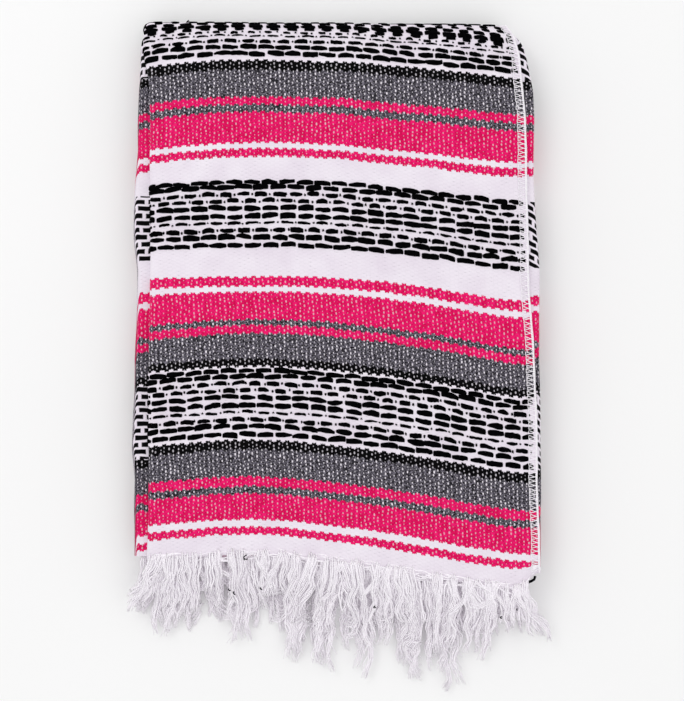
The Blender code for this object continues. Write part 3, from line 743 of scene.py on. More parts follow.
    if painted_floats:
        plain = node("Math ABSOLUTE", from_band)
        inside = 0.0
        for border, sign in PAINTED_BORDERS:
            inside = node("Math MULTIPLY_ADD", node("Math GREATER_THAN", plain, border), sign, inside)
        inside = node("Math ADD", inside, 1.0)
        slanted = node("Math MULTIPLY_ADD", node("Math MINIMUM", u, 40.0), 0.5, plain)
        row_at = node("Math DIVIDE", slanted, 5.7)
        stagger = node("Math MULTIPLY", node("Math FLOOR", row_at), 0.43)
        dash_at = node("Math MULTIPLY_ADD", u, 1.0 / FLOAT_PITCH, stagger)
        dash = inside
        for at, solid, clear in ((row_at, 0.3, 0.36), (dash_at, 0.38, 0.42)):
            away = node("Math ABSOLUTE", node("Math SUBTRACT", node("Math FRACT", at), 0.5))
            dash = node("Math MULTIPLY", node("MapRange", away, solid, clear, 1.0, 0.0), dash)
        colour = node("MixRGB", dash, colour, (*looks.black, 1))

    # White beads are softer than the coloured ones.
    firm = node("Math MULTIPLY_ADD", coloured, 0.65, 0.35)
    height = node("Math MULTIPLY_ADD", fibre, 0.4, node("Math MULTIPLY", hump, firm))
    bump = node("Bump", sockets={"Height": height, "Strength": 0.75, "Distance": 0.7 * MM})
    plug(shader, {"Base Color": colour, "Normal": bump, "Roughness": 0.92, "IOR": 1.5,
                  "Specular IOR Level": 0.03, "Sheen Weight": 0.04, "Sheen Roughness": 0.6})
    return material


def spun_yarn(name, low, high, twist, sheen, glow):
    """Soft spun yarn: fibres wind round it, so light breaks into slanted streaks, and its colour wanders a
    little from one yarn to the next. twist is the length of one turn, and glow is painted light: a faint
    emission that brightens the yarn and fills its shadows, standing in for light carried on through loose
    cotton."""
    material, node, shader = new_material(name)
    place = node("UVMap", uv_map="cloth")
    split = node("SeparateXYZ", place)
    turned = node("Math MULTIPLY_ADD", split.outputs["Y"], 1.0 / twist, split.outputs["X"])
    slanted = node("Math SINE", node("Math MULTIPLY", turned, 2.0 * math.pi * 2.0))
    loose = node("VectorMath MULTIPLY", place, (3.0, 0.5, 1.0))
    fibre = node("TexNoise", loose, sockets={"Scale": 1.0, "Detail": 3.0})
    tone = node("MapRange", fibre.outputs["Fac"], 0.35, 0.62, 0.0, 1.0)
    colour = node("MixRGB", tone, (*low, 1), (*high, 1))
    height = node("Math MULTIPLY_ADD", slanted, 0.35, fibre.outputs["Fac"])
    bump = node("Bump", sockets={"Height": height, "Strength": 0.5, "Distance": 0.3 * MM})
    # Painted light: the emission makes the yarn glow faintly of its own and lifts its shadows.
    plug(shader, {"Base Color": colour, "Normal": bump, "Roughness": 0.95, "Specular IOR Level": 0.02,
                  "Sheen Weight": sheen, "Sheen Roughness": 0.6,
                  "Emission Color": (0.92, 0.87, 0.93, 1.0), "Emission Strength": glow})
    return material


def material_once(name, make, *values):
    """The material of this name, made on its first use."""
    return bpy.data.materials.get(name) or make(name, *values)


def cloth_material(painted_floats=False):
    """The cloth of the outer ply, or of the plies whose floats are painted."""
    name = "Falsa cloth, woven, inner plies" if painted_floats else "Falsa cloth, woven"
    return material_once(name, falsa_cloth, painted_floats)


YARNS = {
    # kind: material, dull and bright fibres, length of one turn of the twist, sheen, glow
    # Dyed acrylic, loosely spun: a deep matt black with soft edges.
    "float": ("Black acrylic weft, spun", "#000000", "#050507", 5.0, 0.0, 0.0),
    # Fine polyester, twisted hard: a clean white line, a little brighter than the cloth, partly from its
    # colour and partly from a faint painted glow.
    "thread": ("Overlock thread, spun polyester", "#F2ECF4", "#FCFAFD", 1.5, 0.2, 0.08),
    # A few loose fibres: thin dark marks on the white.
    "dark": ("Stray black fibre", "#050506", "#1A1A1E", 3.0, 0.0, 0.0),
    # Undyed cotton, softly spun: matt and fuzzy, with a painted glow that lightens its shadows.
    "fringe": ("Cotton warp yarn, spun", None, None, 4.0, 0.5, 0.13),
}


def yarn_material(kind):
    """The material of a kind of yarn. The fringe takes its colours from the panel."""
    name, dull, bright, *finish = YARNS[kind]
    looks = bpy.context.scene.falsa_looks
    colours = (linear(dull), linear(bright)) if dull else (looks.fringe_shade, looks.fringe)
    return material_once(name, spun_yarn, *colours, *finish)


def build_outer_ply():
    """The ply that shows, as one closed wall: the cloth's map at lift 0, a rounded edge, and
    the same map at lift -PLY, carried from the hem to the tuck."""
    sizes = bpy.context.scene.falsa_sizes
    step = sizes.cloth_step / MM
    # Path lengths of the rows: close together on top and round the fold, wider underneath.
    rows = np.concatenate([
        np.linspace(0.0, END_START, 9)[:-1],
        np.arange(END_START, STRAIGHT, step),
        np.linspace(STRAIGHT, UNDER_FROM, 34),
        np.linspace(UNDER_FROM, END_FROM, 72)[1:],
        np.linspace(END_FROM, TUCK_FROM, 13)[1:],
        [PATH_LENGTH],
    ])
    level = np.linspace(0.0, 1.0, int(QUARTER_WIDTH / step))
    round_ = np.linspace(0.0, 1.0, 11)[1:]
    count = len(level) + len(round_) + 2
    curl, tuck = opening(rows)
    right, _, flat = flat_width(rows)
    u = np.empty((len(rows), count))
    u[:, :len(level)] = flat[:, None] * level
    u[:, len(level):-2] = flat[:, None] + CURL_RADIUS * curl[:, None] * round_
    u[:, -2] = u[:, -3] + 0.5 * tuck
    u[:, -1] = u[:, -3] + tuck
    # The hem's rows start on its own bowed line and straighten by the end fold's tuck.
    drop = hem_drop(np.maximum(right[:, None] - u, -170.0))
    s = rows[:, None] - drop * np.maximum(0.0, 1.0 - rows[:, None] / END_START)
    face = relief(u, s)
    outer = on_cloth(u, s, face)
    inner = on_cloth(u, s, np.full_like(face, -PLY))
    middle = on_cloth(u, s, 0.5 * (face - PLY))
    # Rounded long edges: one more point outside each of them.
    cut = middle[:, :1] + np.array([0.9, 0.0, 0.0])
    back = middle[:, -1:] + 0.6 * (middle[:, -1:] - middle[:, -2:-1]) / 3.0
    ring = np.concatenate([outer, back, inner[:, ::-1], cut], axis=1)
    uv_face = np.stack([u, v_of(u, s)], axis=-1)
    uvs = np.concatenate([uv_face, uv_face[:, -1:], uv_face[:, ::-1], uv_face[:, :1]], axis=1)
    size = ring.shape[1]
    # Each end is closed by quads between the two faces, and a triangle at each long edge.
    quads, triangles = [], []
    for row in (0, len(rows) - 1):
        base = row * size
        k = np.arange(count - 1)
        quads.append(np.stack([base + k, base + k + 1, base + size - 3 - k, base + size - 2 - k], axis=1))
        triangles.append([base, base + size - 2, base + size - 1])
        triangles.append([base + count - 1, base + count, base + count + 1])
    groups = [grid_faces(len(rows), size, closed=True), np.concatenate(quads), np.array(triangles)]
    piece = make_piece("outer_ply", cloth_material(), ring.reshape(-1, 3), groups, uvs.reshape(-1, 2))
    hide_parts("outer_layer")


def build_floats():
    """Black floats as flat spindles on the cloth: blunt-ended humps along u, laid from the chart over every
    band of the outer ply, with some unevenness in each."""
    draw = np.random.default_rng(5)
    columns = np.arange(-1, 25)
    rows = []
    for first, phase in FLOAT_BANDS:
        for step, row_phase, length, half, dotted in FLOAT_CHART:
            for way in (-1.0, 1.0):
                v = BAND_CENTRE + way * (first + step)
                rows.append((v, phase + row_phase, length, half))
                if dotted:
                    rows.append((v, phase + row_phase + 0.5, 1.5, 0.55 * half))
    for distance, phase, length, half, dotted in TOP_CHART:
        rows.append((BAND_CENTRE + distance, phase, length, half))
        if dotted:
            rows.append((BAND_CENTRE + distance, phase + 0.5, 1.5, 0.55 * half))
    rows = np.array(rows)
    v, phase, length, half = (rows[:, None, k] for k in range(4))
    mid_u = (columns[None] + phase) * FLOAT_PITCH + draw.normal(0.0, 0.35, (len(rows), len(columns)))
    mid_v = v + draw.normal(0.0, 0.28, mid_u.shape)
    long = length * draw.uniform(0.92, 1.1, mid_u.shape)
    wide = half * draw.uniform(0.92, 1.2, mid_u.shape)
    right, _, flat = flat_width(np.clip(v, 0.0, END_FROM))
    curl, _ = opening(np.clip(v, 0.0, END_FROM))
    inside = (mid_u > 1.0) & (mid_u < flat + CURL_RADIUS * curl - 5.0)
    mid_u, mid_v, long, wide = (a[inside] for a in (mid_u, mid_v, long, wide))
    steps, sides = 9, 6
    share = np.array([-1.0, -0.94, -0.66, -0.33, 0.0, 0.33, 0.66, 0.94, 1.0])
    round_ = np.linspace(0.0, 2.0 * math.pi, sides, endpoint=False)
    # Each long side is a blunt roof of its own: 1 less a power of the distance from its peak.
    peak = draw.uniform(-0.45, 0.45, (2, len(mid_u), 1))
    fall = draw.uniform(0.1, 0.75, (2, len(mid_u), 1))
    power = draw.uniform(1.2, 3.0, (2, len(mid_u), 1))
    roof = 1.0 - fall * (np.abs(share - peak) / (1.0 + np.abs(peak))) ** power
    roof = roof * np.where(np.abs(share) > 0.97, 0.55, 1.0)
    body = 0.5 * (roof[0] + roof[1])
    arch = draw.uniform(-0.3, 0.9, len(mid_u))
    lean = draw.normal(0.0, 0.045, len(mid_u))
    ragged = draw.normal(0.0, 0.15, (len(mid_u), steps, sides))
    around = np.cos(round_)
    half_v = wide[:, None, None] * np.where(around > 0.0, roof[0][:, :, None], roof[1][:, :, None])
    u = mid_u[:, None] + long[:, None] * 0.5 * share
    centre_v = (mid_v[:, None] + arch[:, None] * (1.0 - share**2) * 0.9
                + lean[:, None] * long[:, None] * 0.5 * share)
    v = centre_v[:, :, None] + half_v * around + ragged
    lift = 0.3 + body[:, :, None] * 0.85 * np.sin(round_)
    u = np.broadcast_to(u[:, :, None], v.shape)
    u = np.where(u < 3.0, 3.0 + 0.12 * (u - 3.0), u)
    # Under the overlock the floats are pressed flat.
    lift = lift * (0.12 + 0.88 * smooth((u - 5.0) / 4.0))
    s = s_of(u, v)
    points = on_cloth(u, s, lift + relief(u, s))
    order = np.argsort(-mid_v)
    uvs = np.stack([np.broadcast_to(round_ / (2.0 * math.pi), v.shape) + mid_u[:, None, None], u], axis=-1)
    on_top = mid_v[order] < UNDER_FLOATS_FROM
    for name, chosen in (("floats_top", on_top), ("floats_under", ~on_top)):
        picked = order[chosen]
        piece = make_piece(name, yarn_material("float"), points[picked].reshape(-1, 3),
                           tube_faces(len(picked), steps, sides), uvs[picked].reshape(-1, 2))


def inner_sides(depth, y, turn):
    """X of the hidden plies' left and right sides at this depth: half circles where a fold
    lies, and a notched, cut edge where a ply ends."""
    outer = edge_x("left outer nest", y, turn)
    inner = edge_x("left inner nest", y, turn)
    inner = inner - THIRD_LAYER * smooth((turn - 100.0) / 60.0) * smooth((290.0 - y) / 70.0)
    radius = (SLOT_FROM - HIDDEN_FROM) / 2
    roll = outer + CURL_RADIUS + GAP - np.sqrt(np.maximum(radius**2 - (depth - CURL_RADIUS) ** 2, 0.0))
    slot = outer + CURL_RADIUS + CURL_TUCK + 1.0
    radius = (MID_HEIGHT - SLOT_TO) / 2
    away = depth - SLOT_TO - radius
    second = inner + radius - np.sqrt(np.maximum(radius**2 - away**2, 0.0))
    left = np.where(depth < SLOT_FROM, roll, np.where(depth < SLOT_TO, slot, second))
    right = np.zeros_like(left)
    for start, stop, edge, set_back, form in RIGHT_STEPS:
        limit = edge_x(edge, y, turn) - set_back
        radius = (stop - start) / 2
        away = np.abs(depth - start - radius) / radius
        if form == "round":
            value = limit - radius * (1.0 - np.sqrt(np.maximum(1.0 - away**2, 0.0)))
        else:
            value = limit - NOTCH * np.maximum(0.0, away - 0.7) / 0.3
        right = np.where((depth >= start) & (depth <= stop), value, right)
    return left, right


def inner_place(s, depth):
    """(y, z, turn) of the hidden plies at path length s and depth: offset from the outer face,
    then drawn to the crease in the middle, where both halves arrive with the same turn."""
    y, z, turn = path(s)
    angle = np.radians(turn)
    offset = np.minimum(depth, SLOT_TO)
    y, z = y - np.sin(angle) * offset, z - np.cos(angle) * offset
    flat_y = np.where(s < STRAIGHT, s, np.where(s > UNDER_FROM, HEEL_END - (s - UNDER_FROM), HEEL_END))
    on_arc = (s >= STRAIGHT) & (s <= UNDER_FROM)
    flat_y = np.where(on_arc, np.minimum(path(s)[0], HEEL_END), flat_y)
    sinks = smooth((flat_y - STRAIGHT + 60.0) / (HEEL_END - STRAIGHT + 60.0))
    crease_z = MID_HEIGHT + (CREASE_TIP[1] - MID_HEIGHT) * sinks
    share = np.maximum(depth - SLOT_TO, 0.0) / (MID_HEIGHT - SLOT_TO)
    return y + (flat_y - y) * share, z + (crease_z - z) * share, turn + (90.0 - turn) * share


def build_inner_plies():
    """All hidden plies as one closed body, layered at its sides: six grids over path length,
    depth and width that share their borders."""
    tiny = 0.02
    breaks = [SLOT_FROM, *(start for start, *_ in RIGHT_STEPS[1:])]
    depths = np.unique(np.concatenate([
        np.linspace(HIDDEN_FROM, MID_HEIGHT, 46), np.array(breaks) - tiny, np.array(breaks) + tiny]))
    top_end = UNDER_FROM + HEEL_END - END_START
    rows = np.concatenate([
        np.linspace(END_START, STRAIGHT, 90)[:-1], np.linspace(STRAIGHT, UNDER_FROM, 30),
        np.linspace(UNDER_FROM, top_end, 90)[1:]])
    rows = np.concatenate([[-1.0], rows, [rows[-1] + 1.0]])
    inside = np.clip(rows, END_START, top_end)
    shares = np.linspace(0.0, 1.0, 40)

    def body(row, depth, share):
        """Points for arrays of row numbers, depths and shares of the width."""
        row, depth, share = np.broadcast_arrays(row, depth, share)
        y, z, turn = inner_place(inside[row], depth)
        left, right = inner_sides(depth, y, turn)
        x = left + (right - left) * share
        hem = np.where(depth < SLOT_TO, HEM_SET_BACK - hem_drop(x) + corner_rise(x), -lower_hem_drop(x))
        y = np.where(row == 0, hem, y)
        radius = END_RADIUS - HIDDEN_FROM
        bulge = np.sqrt(np.maximum(radius**2 - (depth - END_RADIUS) ** 2, 0.0))
        y = np.where(row == len(rows) - 1, end_centre(x) - bulge, y)
        points = np.stack([x, shifted_y(x, y), settle(x, y, z)], axis=-1)
        # Stripes of the plies below lie off those of the outer ply, each side by its own table.
        under = smooth(turn / 180.0)
        sides = [read_table(y, table) for table in (LEFT_DROP, RIGHT_DROP)]
        drop = sides[0] + (sides[1] - sides[0]) * share - 14.0 * smooth((depth - 15.0) / 2.0) * (1.0 - share)
        upper_v = np.maximum(y + drop, HEM_LINE)
        lower_v = 2 * BAND_CENTRE - (y + drop + 6.0 * (1.0 - share))
        v = upper_v + (lower_v - upper_v) * under
        u = 170.0 - x + depth * 1.25 * (1.0 - 2.0 * share)
        return points, np.stack([u, v], axis=-1)

    number = np.arange(len(rows))
    parts = []
    for row, depth, share in (
        (number[:, None], depths[None], 0.0), (number[:, None], depths[None], 1.0),
        (number[:, None], depths[0], shares[None]), (number[:, None], depths[-1], shares[None]),
        (0, depths[:, None], shares[None]), (len(rows) - 1, depths[:, None], shares[None]),
    ):
        points, uvs = body(row, depth, share)
        parts.append((points.reshape(-1, 3), [grid_faces(*points.shape[:2])], uvs.reshape(-1, 2)))
    piece = make_piece("inner_plies", cloth_material(True), *joined(parts), weld=True, sharp=50.0)
    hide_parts("inner_folds")


def build_overlock():
    """Overlock stitches along the outer ply's cut edge: a row of needle stitches 6.5 mm in,
    threads that slant from it to the edge, and two looper threads chained along the edge."""
    draw = np.random.default_rng(8)
    pitch, inset = STITCH_PITCH, 6.4
    v = np.arange(2.0, END_FROM - 14.0, pitch)
    v = v + draw.normal(0.0, 0.18, len(v))
    parts = []
    share = np.linspace(0.0, 1.0, 6)

    def thread(u, v, lift, radius, sides=4):
        s = s_of(u, v)
        points = on_cloth(u, s, lift + relief(u, s))
        parts.append(tubes(points, radius, sides))

    wander = draw.normal(0.0, 0.22, len(v))
    u = inset + wander[:, None] * np.ones_like(share)
    thread(u, v[:, None] + share * pitch * 0.86, 0.22 + 0.2 * np.sin(math.pi * share), 0.3)
    for lead, lag in ((0.1, 0.62), (0.9, 0.35)):
        u = (inset + wander[:, None]) * (1.0 - share) + 0.2 * share
        slanted = v[:, None] + pitch * (lead + (lag - lead) * share)
        thread(u, slanted, 0.18 + 0.28 * np.sin(math.pi * share), 0.3)
    # The chain: two long threads that swing about the edge and over each other.
    far = np.arange(0.0, END_FROM - 10.0, pitch / 5.0)
    for phase in (0.0, math.pi):
        swing = 2.0 * math.pi * far / pitch + phase
        u = 0.5 + 0.4 * np.cos(swing)
        thread(u[None], far[None], 0.3 + 0.3 * np.sin(swing)[None], 0.36, 5)
    far = np.arange(-29.0, END_FROM - 10.0, 2.0)
    edge = on_cloth(-0.25 + 0.12 * np.sin(far / 4.1), far, np.full_like(far, -0.5 * PLY))
    parts.append(tubes(edge[None], 0.6, 7, squash=1.9))
    piece = make_piece("overlock", yarn_material("thread"), *joined(parts))


def build_inner_overlock():
    """The hidden plies' own overlocked edges: at each cut depth, two threads wound about each
    other along the right side of the pack, from the hem round the top fold and back."""
    parts = []
    far = np.arange(END_START, UNDER_FROM + HEEL_END - END_START, 1.2)
    for depth, radius in ((4.2, 0.75), (17.35, 0.7), (19.3, 0.62)):
        y, z, turn = inner_place(far, np.full_like(far, depth))
        _, right = inner_sides(np.full_like(far, depth), y, turn)
        for phase in (0.0, math.pi):
            swing = 2.0 * math.pi * far / STITCH_PITCH + phase
            x = right + 0.15 + 0.3 * np.cos(swing)
            line = np.stack([x, shifted_y(x, y), settle(x, y, z) + 0.42 * np.sin(swing)], axis=-1)
            parts.append(tubes(line[None], radius * 0.62, 5))
    piece = make_piece("inner_overlock", yarn_material("thread"), *joined(parts))


def clump_values(x, clumps):
    """(x of the tip, reach) of yarns rooted at x, straight between their clump's two sides."""
    table = np.array(clumps)
    index = np.clip(np.searchsorted(table[:, 1], x), 0, len(table) - 1)
    root_from, root_to, tip_from, tip_to, reach_left, reach_right = table[index].T
    share = np.clip((x - root_from) / (root_to - root_from), 0.0, 1.0)
    return tip_from + (tip_to - tip_from) * share, reach_left + (reach_right - reach_left) * share


def build_fringe(name, node, clumps, drop, locks, strands, depths, floor, fall, seed):
    """Fringe: locks of many fine yarns that leave the hem, sink to the surface that the blanket
    lies on, and gather in clumps.

    A lock's line runs out from the hem, moves across to its clump's tip by a smooth step, falls
    by another, and swings on the way as a sine. Its yarns keep their own place in the lock,
    which narrows along its length, and come loose at their ends. Short, wide, straight locks
    fill the space near the hem, some locks cross to a neighbouring clump, and some curl back.
    """
    draw = np.random.default_rng(seed)
    steps = 13
    root_x = np.sort(draw.uniform(clumps[0][0] + 1.0, clumps[-1][1] + 1.0, locks))
    depth = draw.uniform(*depths, locks)
    tip_x, reach = clump_values(root_x, clumps)
    kind = draw.random(locks)
    filling = (kind > 0.56) & (kind < 0.82)
    crossing = kind > 0.86
    reach = reach * np.where(kind < 0.56, draw.uniform(0.94, 1.1, locks), draw.uniform(0.5, 1.0, locks))
    reach = np.where(filling, draw.uniform(30.0, 50.0, locks), reach)
    tip_x = tip_x + draw.normal(0.0, 3.8, locks) + np.where(crossing, draw.normal(0.0, 17.0, locks), 0.0)
    tip_x = np.clip(tip_x, clumps[0][2], clumps[-1][3])
    share = np.linspace(0.0, 1.0, steps)
    out = reach[:, None] * share
    bend = smooth(out / np.where(crossing, 34.0, FULL_REACH)[:, None])
    wave = draw.uniform(0.6, 3.4, locks) * np.where(filling, 0.4, 1.0)
    wave = wave[:, None] * smooth(share / 0.35)
    swing = 2.0 * math.pi * (out / draw.uniform(20.0, 44.0, locks)[:, None] + draw.random(locks)[:, None])
    x = root_x[:, None] + (tip_x - root_x)[:, None] * bend + wave * np.sin(swing)
    tier = draw.uniform(*floor, locks)
    over = (depth < 3.5) & ~filling
    depth = np.where(over, -0.8, depth)
    start = np.where(over, 6.5, 2.5)
    hem = -drop(root_x) + np.where(depth < SLOT_TO, corner_rise(root_x), 0.0)
    high = settle(root_x, hem, THICKNESS - depth)
    sinking = 1.0 - smooth((out - np.where(over, start, 0.0)[:, None]) / fall)
    z = tier[:, None] + (high - tier)[:, None] * sinking + 0.7 * np.sin(1.3 * swing) * smooth(share * 2.5)
    y = (start + hem)[:, None] - out + 0.25 * wave * np.cos(swing)
    # Some locks curl back at their ends.
    curls = (draw.random(locks) < 0.28) & (np.abs(root_x) < 138.0)
    turn = np.where(curls, draw.uniform(2.0, 4.6, locks) * draw.choice([-1.0, 1.0], locks), 0.0)
    tail = np.maximum(share - 0.66, 0.0) / 0.34
    ring = draw.uniform(2.5, 5.0, locks)[:, None]
    x = x + ring * (np.cos(turn[:, None] * tail) - 1.0) * np.sign(turn + 1e-9)[:, None]
    curl_back = reach[:, None] * 0.3 * tail - ring * np.abs(np.sin(turn[:, None] * tail))
    y = y + np.where(curls[:, None], curl_back, 0.0)
    # Yarns: each keeps its place in the lock, with a small wave of its own.
    each = (locks, strands, 1)
    place = np.sqrt(draw.random(each))
    spread = draw.uniform(2.2, 3.9, locks)[:, None]
    half = np.where(filling[:, None], 8.5, spread * (1.0 - 0.35 * smooth(share / 0.8)))[:, None]
    twist = (draw.normal(0.0, 0.045, locks)[:, None] * out)[:, None]
    twist = twist + draw.uniform(0.0, 2.0 * math.pi, each)
    loose = draw.normal(0.0, 1.0, each) * smooth((share - 0.7) / 0.3)
    own = draw.uniform(0.2, 0.8, each) * smooth(share * 4.0)
    pace = out[:, None] / draw.uniform(1.4, 3.0, each) + draw.uniform(0.0, 6.28, each)
    yarns = np.broadcast_to(np.stack([x, y, z], axis=-1)[:, None], (locks, strands, steps, 3)).copy()
    yarns[..., 0] += place * half * np.cos(twist) + loose + own * np.sin(pace)
    yarns[..., 2] += place * np.minimum(0.6 * half, 1.8) * np.sin(twist) + 0.5 * own * np.cos(pace)
    # Above the hem each yarn comes up out of the cloth at a place of its own.
    root = draw.uniform(0.0, 5.5, each) * over[:, None, None]
    yarns[..., 1] = np.minimum(yarns[..., 1], yarns[:, :, :1, 1] - root)
    yarns[..., 2] -= 1.6 * (1.0 - smooth(out[:, None] / (root + 3.0))) * over[:, None, None]
    shorter = draw.uniform(0.0, 1.0, each) ** 2 * np.where(filling, 0.45, 0.3)[:, None, None]
    yarns[..., 1] += shorter * share * out[:, None]
    yarns[..., 2] = np.maximum(yarns[..., 2], floor[0] * 0.6 + 0.35)
    yarns = yarns.reshape(-1, steps, 3)
    radius = draw.uniform(0.48, 0.72, len(yarns)) * np.repeat(np.where(filling, 1.5, 1.0), strands)
    radius = radius[:, None] * (1.0 - 0.5 * smooth((share - 0.85) / 0.15))
    piece = make_piece(name, yarn_material("fringe"), *tubes(yarns, radius, 3, squash=0.6))
    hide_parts(node)


def build_hem_header():
    """Loose ends of the hem's last weft yarns: short wavy threads along the hem, a few degrees
    off its line, on the cloth and among the roots of the fringe."""
    draw = np.random.default_rng(21)
    count = 80
    share = np.linspace(-0.5, 0.5, 11)
    length = draw.uniform(8.0, 34.0, count)[:, None]
    mid = draw.uniform(-148.0, 150.0, count)[:, None]
    x = np.clip(mid + length * share, -154.0, 158.0)
    slope = draw.normal(0.0, 0.09, count)[:, None]
    off = draw.uniform(-4.5, 5.0, count)[:, None]
    wave = draw.uniform(0.2, 0.9, count)[:, None] * np.sin(x / draw.uniform(1.6, 4.0, count)[:, None] + mid)
    y = -hem_drop(x) + corner_rise(x) + off + slope * length * share + wave
    below = np.maximum(-off, 0.0)
    z = settle(x, y, THICKNESS + 0.25 - 0.25 * below) - 1.6 * smooth((np.abs(share) - 0.3) / 0.2)
    threads = tubes(np.stack([x, y, z], axis=-1), draw.uniform(0.35, 0.6, count)[:, None], 4)
    piece = make_piece("hem_header", yarn_material("fringe"), *threads)


def build_stray_fibres():
    """Stray black fibres: short bent tufts of two threads each, caught in the fringe, at the
    top edge and under the hem's right corner."""
    draw = np.random.default_rng(14)
    table = np.repeat(np.array(STRAY_FIBRES), 2, axis=0)
    share = np.linspace(-0.5, 0.5, 5)
    way = draw.uniform(0.0, math.pi, len(table))[:, None]
    length = table[:, 3:4] * draw.uniform(0.7, 1.1, len(table))[:, None]
    bent = 0.3 * length * (1.0 - 4.0 * share**2)
    x = table[:, :1] + length * share * np.cos(way) - bent * np.sin(way)
    y = table[:, 1:2] + length * share * np.sin(way) + bent * np.cos(way)
    z = np.broadcast_to(table[:, 2:3], x.shape)
    parts = [tubes(np.stack([x, y, z], axis=-1), 0.45, 4), tubes([CORNER_TUFT], 1.1, 6)]
    piece = make_piece("stray_fibres", yarn_material("dark"), *joined(parts))


def build_stage():
    """A pale floor, a broad soft light from above left, a weak fill, and the camera."""
    scene = bpy.context.scene
    looks = scene.falsa_looks
    mesh = bpy.data.meshes.new("floor")
    edge = 6.0
    corners = [(-edge, -edge, 0), (edge, -edge, 0), (edge, edge, 0), (-edge, edge, 0)]
    mesh.from_pydata(corners, [], [(0, 1, 2, 3)])
    floor = bpy.data.objects.new("floor", mesh)
    scene.collection.objects.link(floor)
    # Matt paper: an even pale ground that takes soft shadows and has no gleam.
    material, node, shader = new_material("White paper sweep")
    grain = node("TexNoise", node("TexCoord").outputs["Object"], sockets={"Scale": 3.0})
    tone = node("MixRGB", grain.outputs["Fac"], (0.9, 0.9, 0.9, 1), (0.92, 0.92, 0.92, 1))
    plug(shader, {"Base Color": tone, "Roughness": 0.9, "Specular IOR Level": 0.1})
    mesh.materials.append(material)

    world = bpy.data.worlds.new("Soft white room")
    scene.world = world
    world.use_nodes = True
    background = world.node_tree.nodes["Background"]
    plug(background, {"Color": (1.0, 1.0, 1.0, 1.0), "Strength": looks.room_light})

    def lamp(name, spot, size, power):
        data = bpy.data.lights.new(name, "AREA")
        data.shape = "DISK"
        data.size = size
        data.energy = power
        light = bpy.data.objects.new(name, data)
        light.location = spot
        light.rotation_euler = (-Vector(spot)).to_track_quat("-Z", "Y").to_euler()
        scene.collection.objects.link(light)

    lamp("key light", (-0.9, 0.9, 1.9), 1.1, looks.key_light)
    lamp("fill light", (1.3, -0.9, 1.6), 1.6, looks.key_light * 0.25)

    camera = bpy.data.cameras.new("camera")
    camera.lens = 75.0
    camera.sensor_width = SENSOR
    distance = camera.lens / SENSOR * PHOTO_HEIGHT * PIXEL * MM
    lift = math.radians(CAMERA_ELEVATION)
    target = Vector(CAMERA_TARGET) * MM
    eye = bpy.data.objects.new("camera", camera)
    eye.location = target + distance * Vector((0.0, -math.cos(lift), math.sin(lift)))
    eye.rotation_euler = (target - eye.location).to_track_quat("-Z", "Y").to_euler()
    scene.collection.objects.link(eye)
    scene.camera = eye
    scene.view_settings.view_transform = "Standard"
    scene.view_settings.look = "None"


class FalsaSizes(bpy.types.PropertyGroup):
    """Sizes of the blanket's finish."""

    cloth_step: bpy.props.FloatProperty(
        name="Cloth step", description="Spacing of the outer ply's points on its top face",
        default=2.4 * MM, min=1.5 * MM, max=12 * MM, subtype="DISTANCE", unit="LENGTH")
    upper_locks: bpy.props.IntProperty(
        name="Upper locks", description="Locks of yarn along the upper hem", default=156, min=20, max=160)
    lower_locks: bpy.props.IntProperty(
        name="Lower locks", description="Locks of yarn along the lower hem", default=110, min=20, max=160)


def colour_property(name, description, code):
    """A colour property whose default is this sRGB hex code."""
    return bpy.props.FloatVectorProperty(
        name=name, description=description, default=linear(code), size=3, min=0.0, max=1.0, subtype="COLOR")


class FalsaLooks(bpy.types.PropertyGroup):
    """Colours of the yarns, and the strength of the lights."""

    white: colour_property("White", "White weft and warp dots", "#F0E9F2")
    white_shade: colour_property("White shade", "Duller parts of the white weft", "#E6DCE8")
    pink_light: colour_property("Pink light", "Bright fibres of the pink weft", "#F81F76")
    pink_dark: colour_property("Pink dark", "Deep fibres of the pink weft", "#CF0048")
    grey_light: colour_property("Grey light", "Pale fibres of the grey weft", "#77727F")
    grey_dark: colour_property("Grey dark", "Dark fibres of the grey weft", "#0E0D12")
    black: colour_property("Black", "Black weft", "#010102")
    fringe: colour_property("Fringe", "Cotton yarn of the fringe", "#F8F4F9")
    fringe_shade: colour_property("Fringe shade", "Duller fibres of the fringe", "#F0EAF2")
    room_light: bpy.props.FloatProperty(
        name="Room light", description="Strength of the even light all round", default=0.92, min=0.0)
    key_light: bpy.props.FloatProperty(
        name="Key light", description="Power of the broad light from above", default=7.0, min=0.0,
        subtype="POWER", unit="POWER")


class FALSA_OT_cloth(bpy.types.Operator):
    """Builds the outer ply, its black floats, and the hidden plies"""

    bl_idname = "falsa.cloth"
    bl_label = "Folded cloth"

    def execute(self, context):
        build_outer_ply()
        build_floats()
        build_inner_plies()
        return {"FINISHED"}


class FALSA_OT_overlock(bpy.types.Operator):
    """Sews the overlock thread along the cut edges"""

    bl_idname = "falsa.overlock"
    bl_label = "Overlocked edges"

    def execute(self, context):
        build_overlock()
        build_inner_overlock()
        return {"FINISHED"}


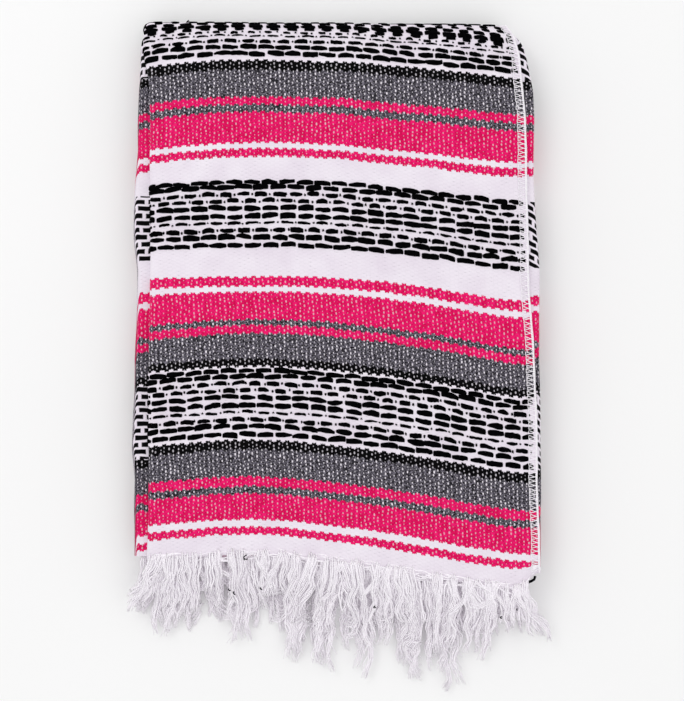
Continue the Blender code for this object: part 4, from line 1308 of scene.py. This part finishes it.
class FALSA_OT_fringe(bpy.types.Operator):
    """Builds both fringes and the hem's last yarns"""

    bl_idname = "falsa.fringe"
    bl_label = "Fringe"

    def execute(self, context):
        sizes = context.scene.falsa_sizes
        build_fringe("fringe_upper_yarns", "fringe_upper", UPPER_CLUMPS, hem_drop,
                     sizes.upper_locks, 16, (0.4, 6.5), (5.0, 10.0), 62.0, 31)
        build_fringe("fringe_lower_yarns", "fringe_lower", LOWER_CLUMPS, lower_hem_drop,
                     sizes.lower_locks, 15, (12.0, 19.0), (0.9, 4.6), 44.0, 32)
        build_hem_header()
        build_stray_fibres()
        return {"FINISHED"}


class FALSA_OT_declare(bpy.types.Operator):
    """Does nothing: the scene is left as it is and no size is stated"""

    bl_idname = "falsa.declare"
    bl_label = "State the cloth's cut"

    def execute(self, context):
        return {"FINISHED"}


class FALSA_OT_stage(bpy.types.Operator):
    """Sets up the floor, the lights and the camera"""

    bl_idname = "falsa.stage"
    bl_label = "Stage"

    def execute(self, context):
        build_stage()
        return {"FINISHED"}


class FALSA_PT_panel(bpy.types.Panel):
    """The blanket's steps and values"""

    bl_idname = "FALSA_PT_panel"
    bl_label = "Folded falsa blanket"
    bl_space_type = "VIEW_3D"
    bl_region_type = "UI"
    bl_category = "Blanket"

    def draw(self, context):
        for operator in OPERATORS:
            self.layout.operator(operator.bl_idname)
        for group in (context.scene.falsa_sizes, context.scene.falsa_looks):
            for name in group.__annotations__:
                self.layout.prop(group, name)


OPERATORS = (FALSA_OT_cloth, FALSA_OT_overlock, FALSA_OT_fringe, FALSA_OT_declare, FALSA_OT_stage)
CLASSES = (FalsaSizes, FalsaLooks, *OPERATORS, FALSA_PT_panel)


def register():
    for cls in CLASSES:
        bpy.utils.register_class(cls)
    bpy.types.Scene.falsa_sizes = bpy.props.PointerProperty(type=FalsaSizes)
    bpy.types.Scene.falsa_looks = bpy.props.PointerProperty(type=FalsaLooks)


def unregister():
    for name in ("falsa_sizes", "falsa_looks"):
        delattr(bpy.types.Scene, name)
    for cls in reversed(CLASSES):
        bpy.utils.unregister_class(cls)


def main():
    register()
    bpy.ops.falsa.cloth()
    bpy.ops.falsa.overlock()
    bpy.ops.falsa.fringe()
    bpy.ops.falsa.declare()
    bpy.ops.falsa.stage()


if __name__ == "__main__":
    main()
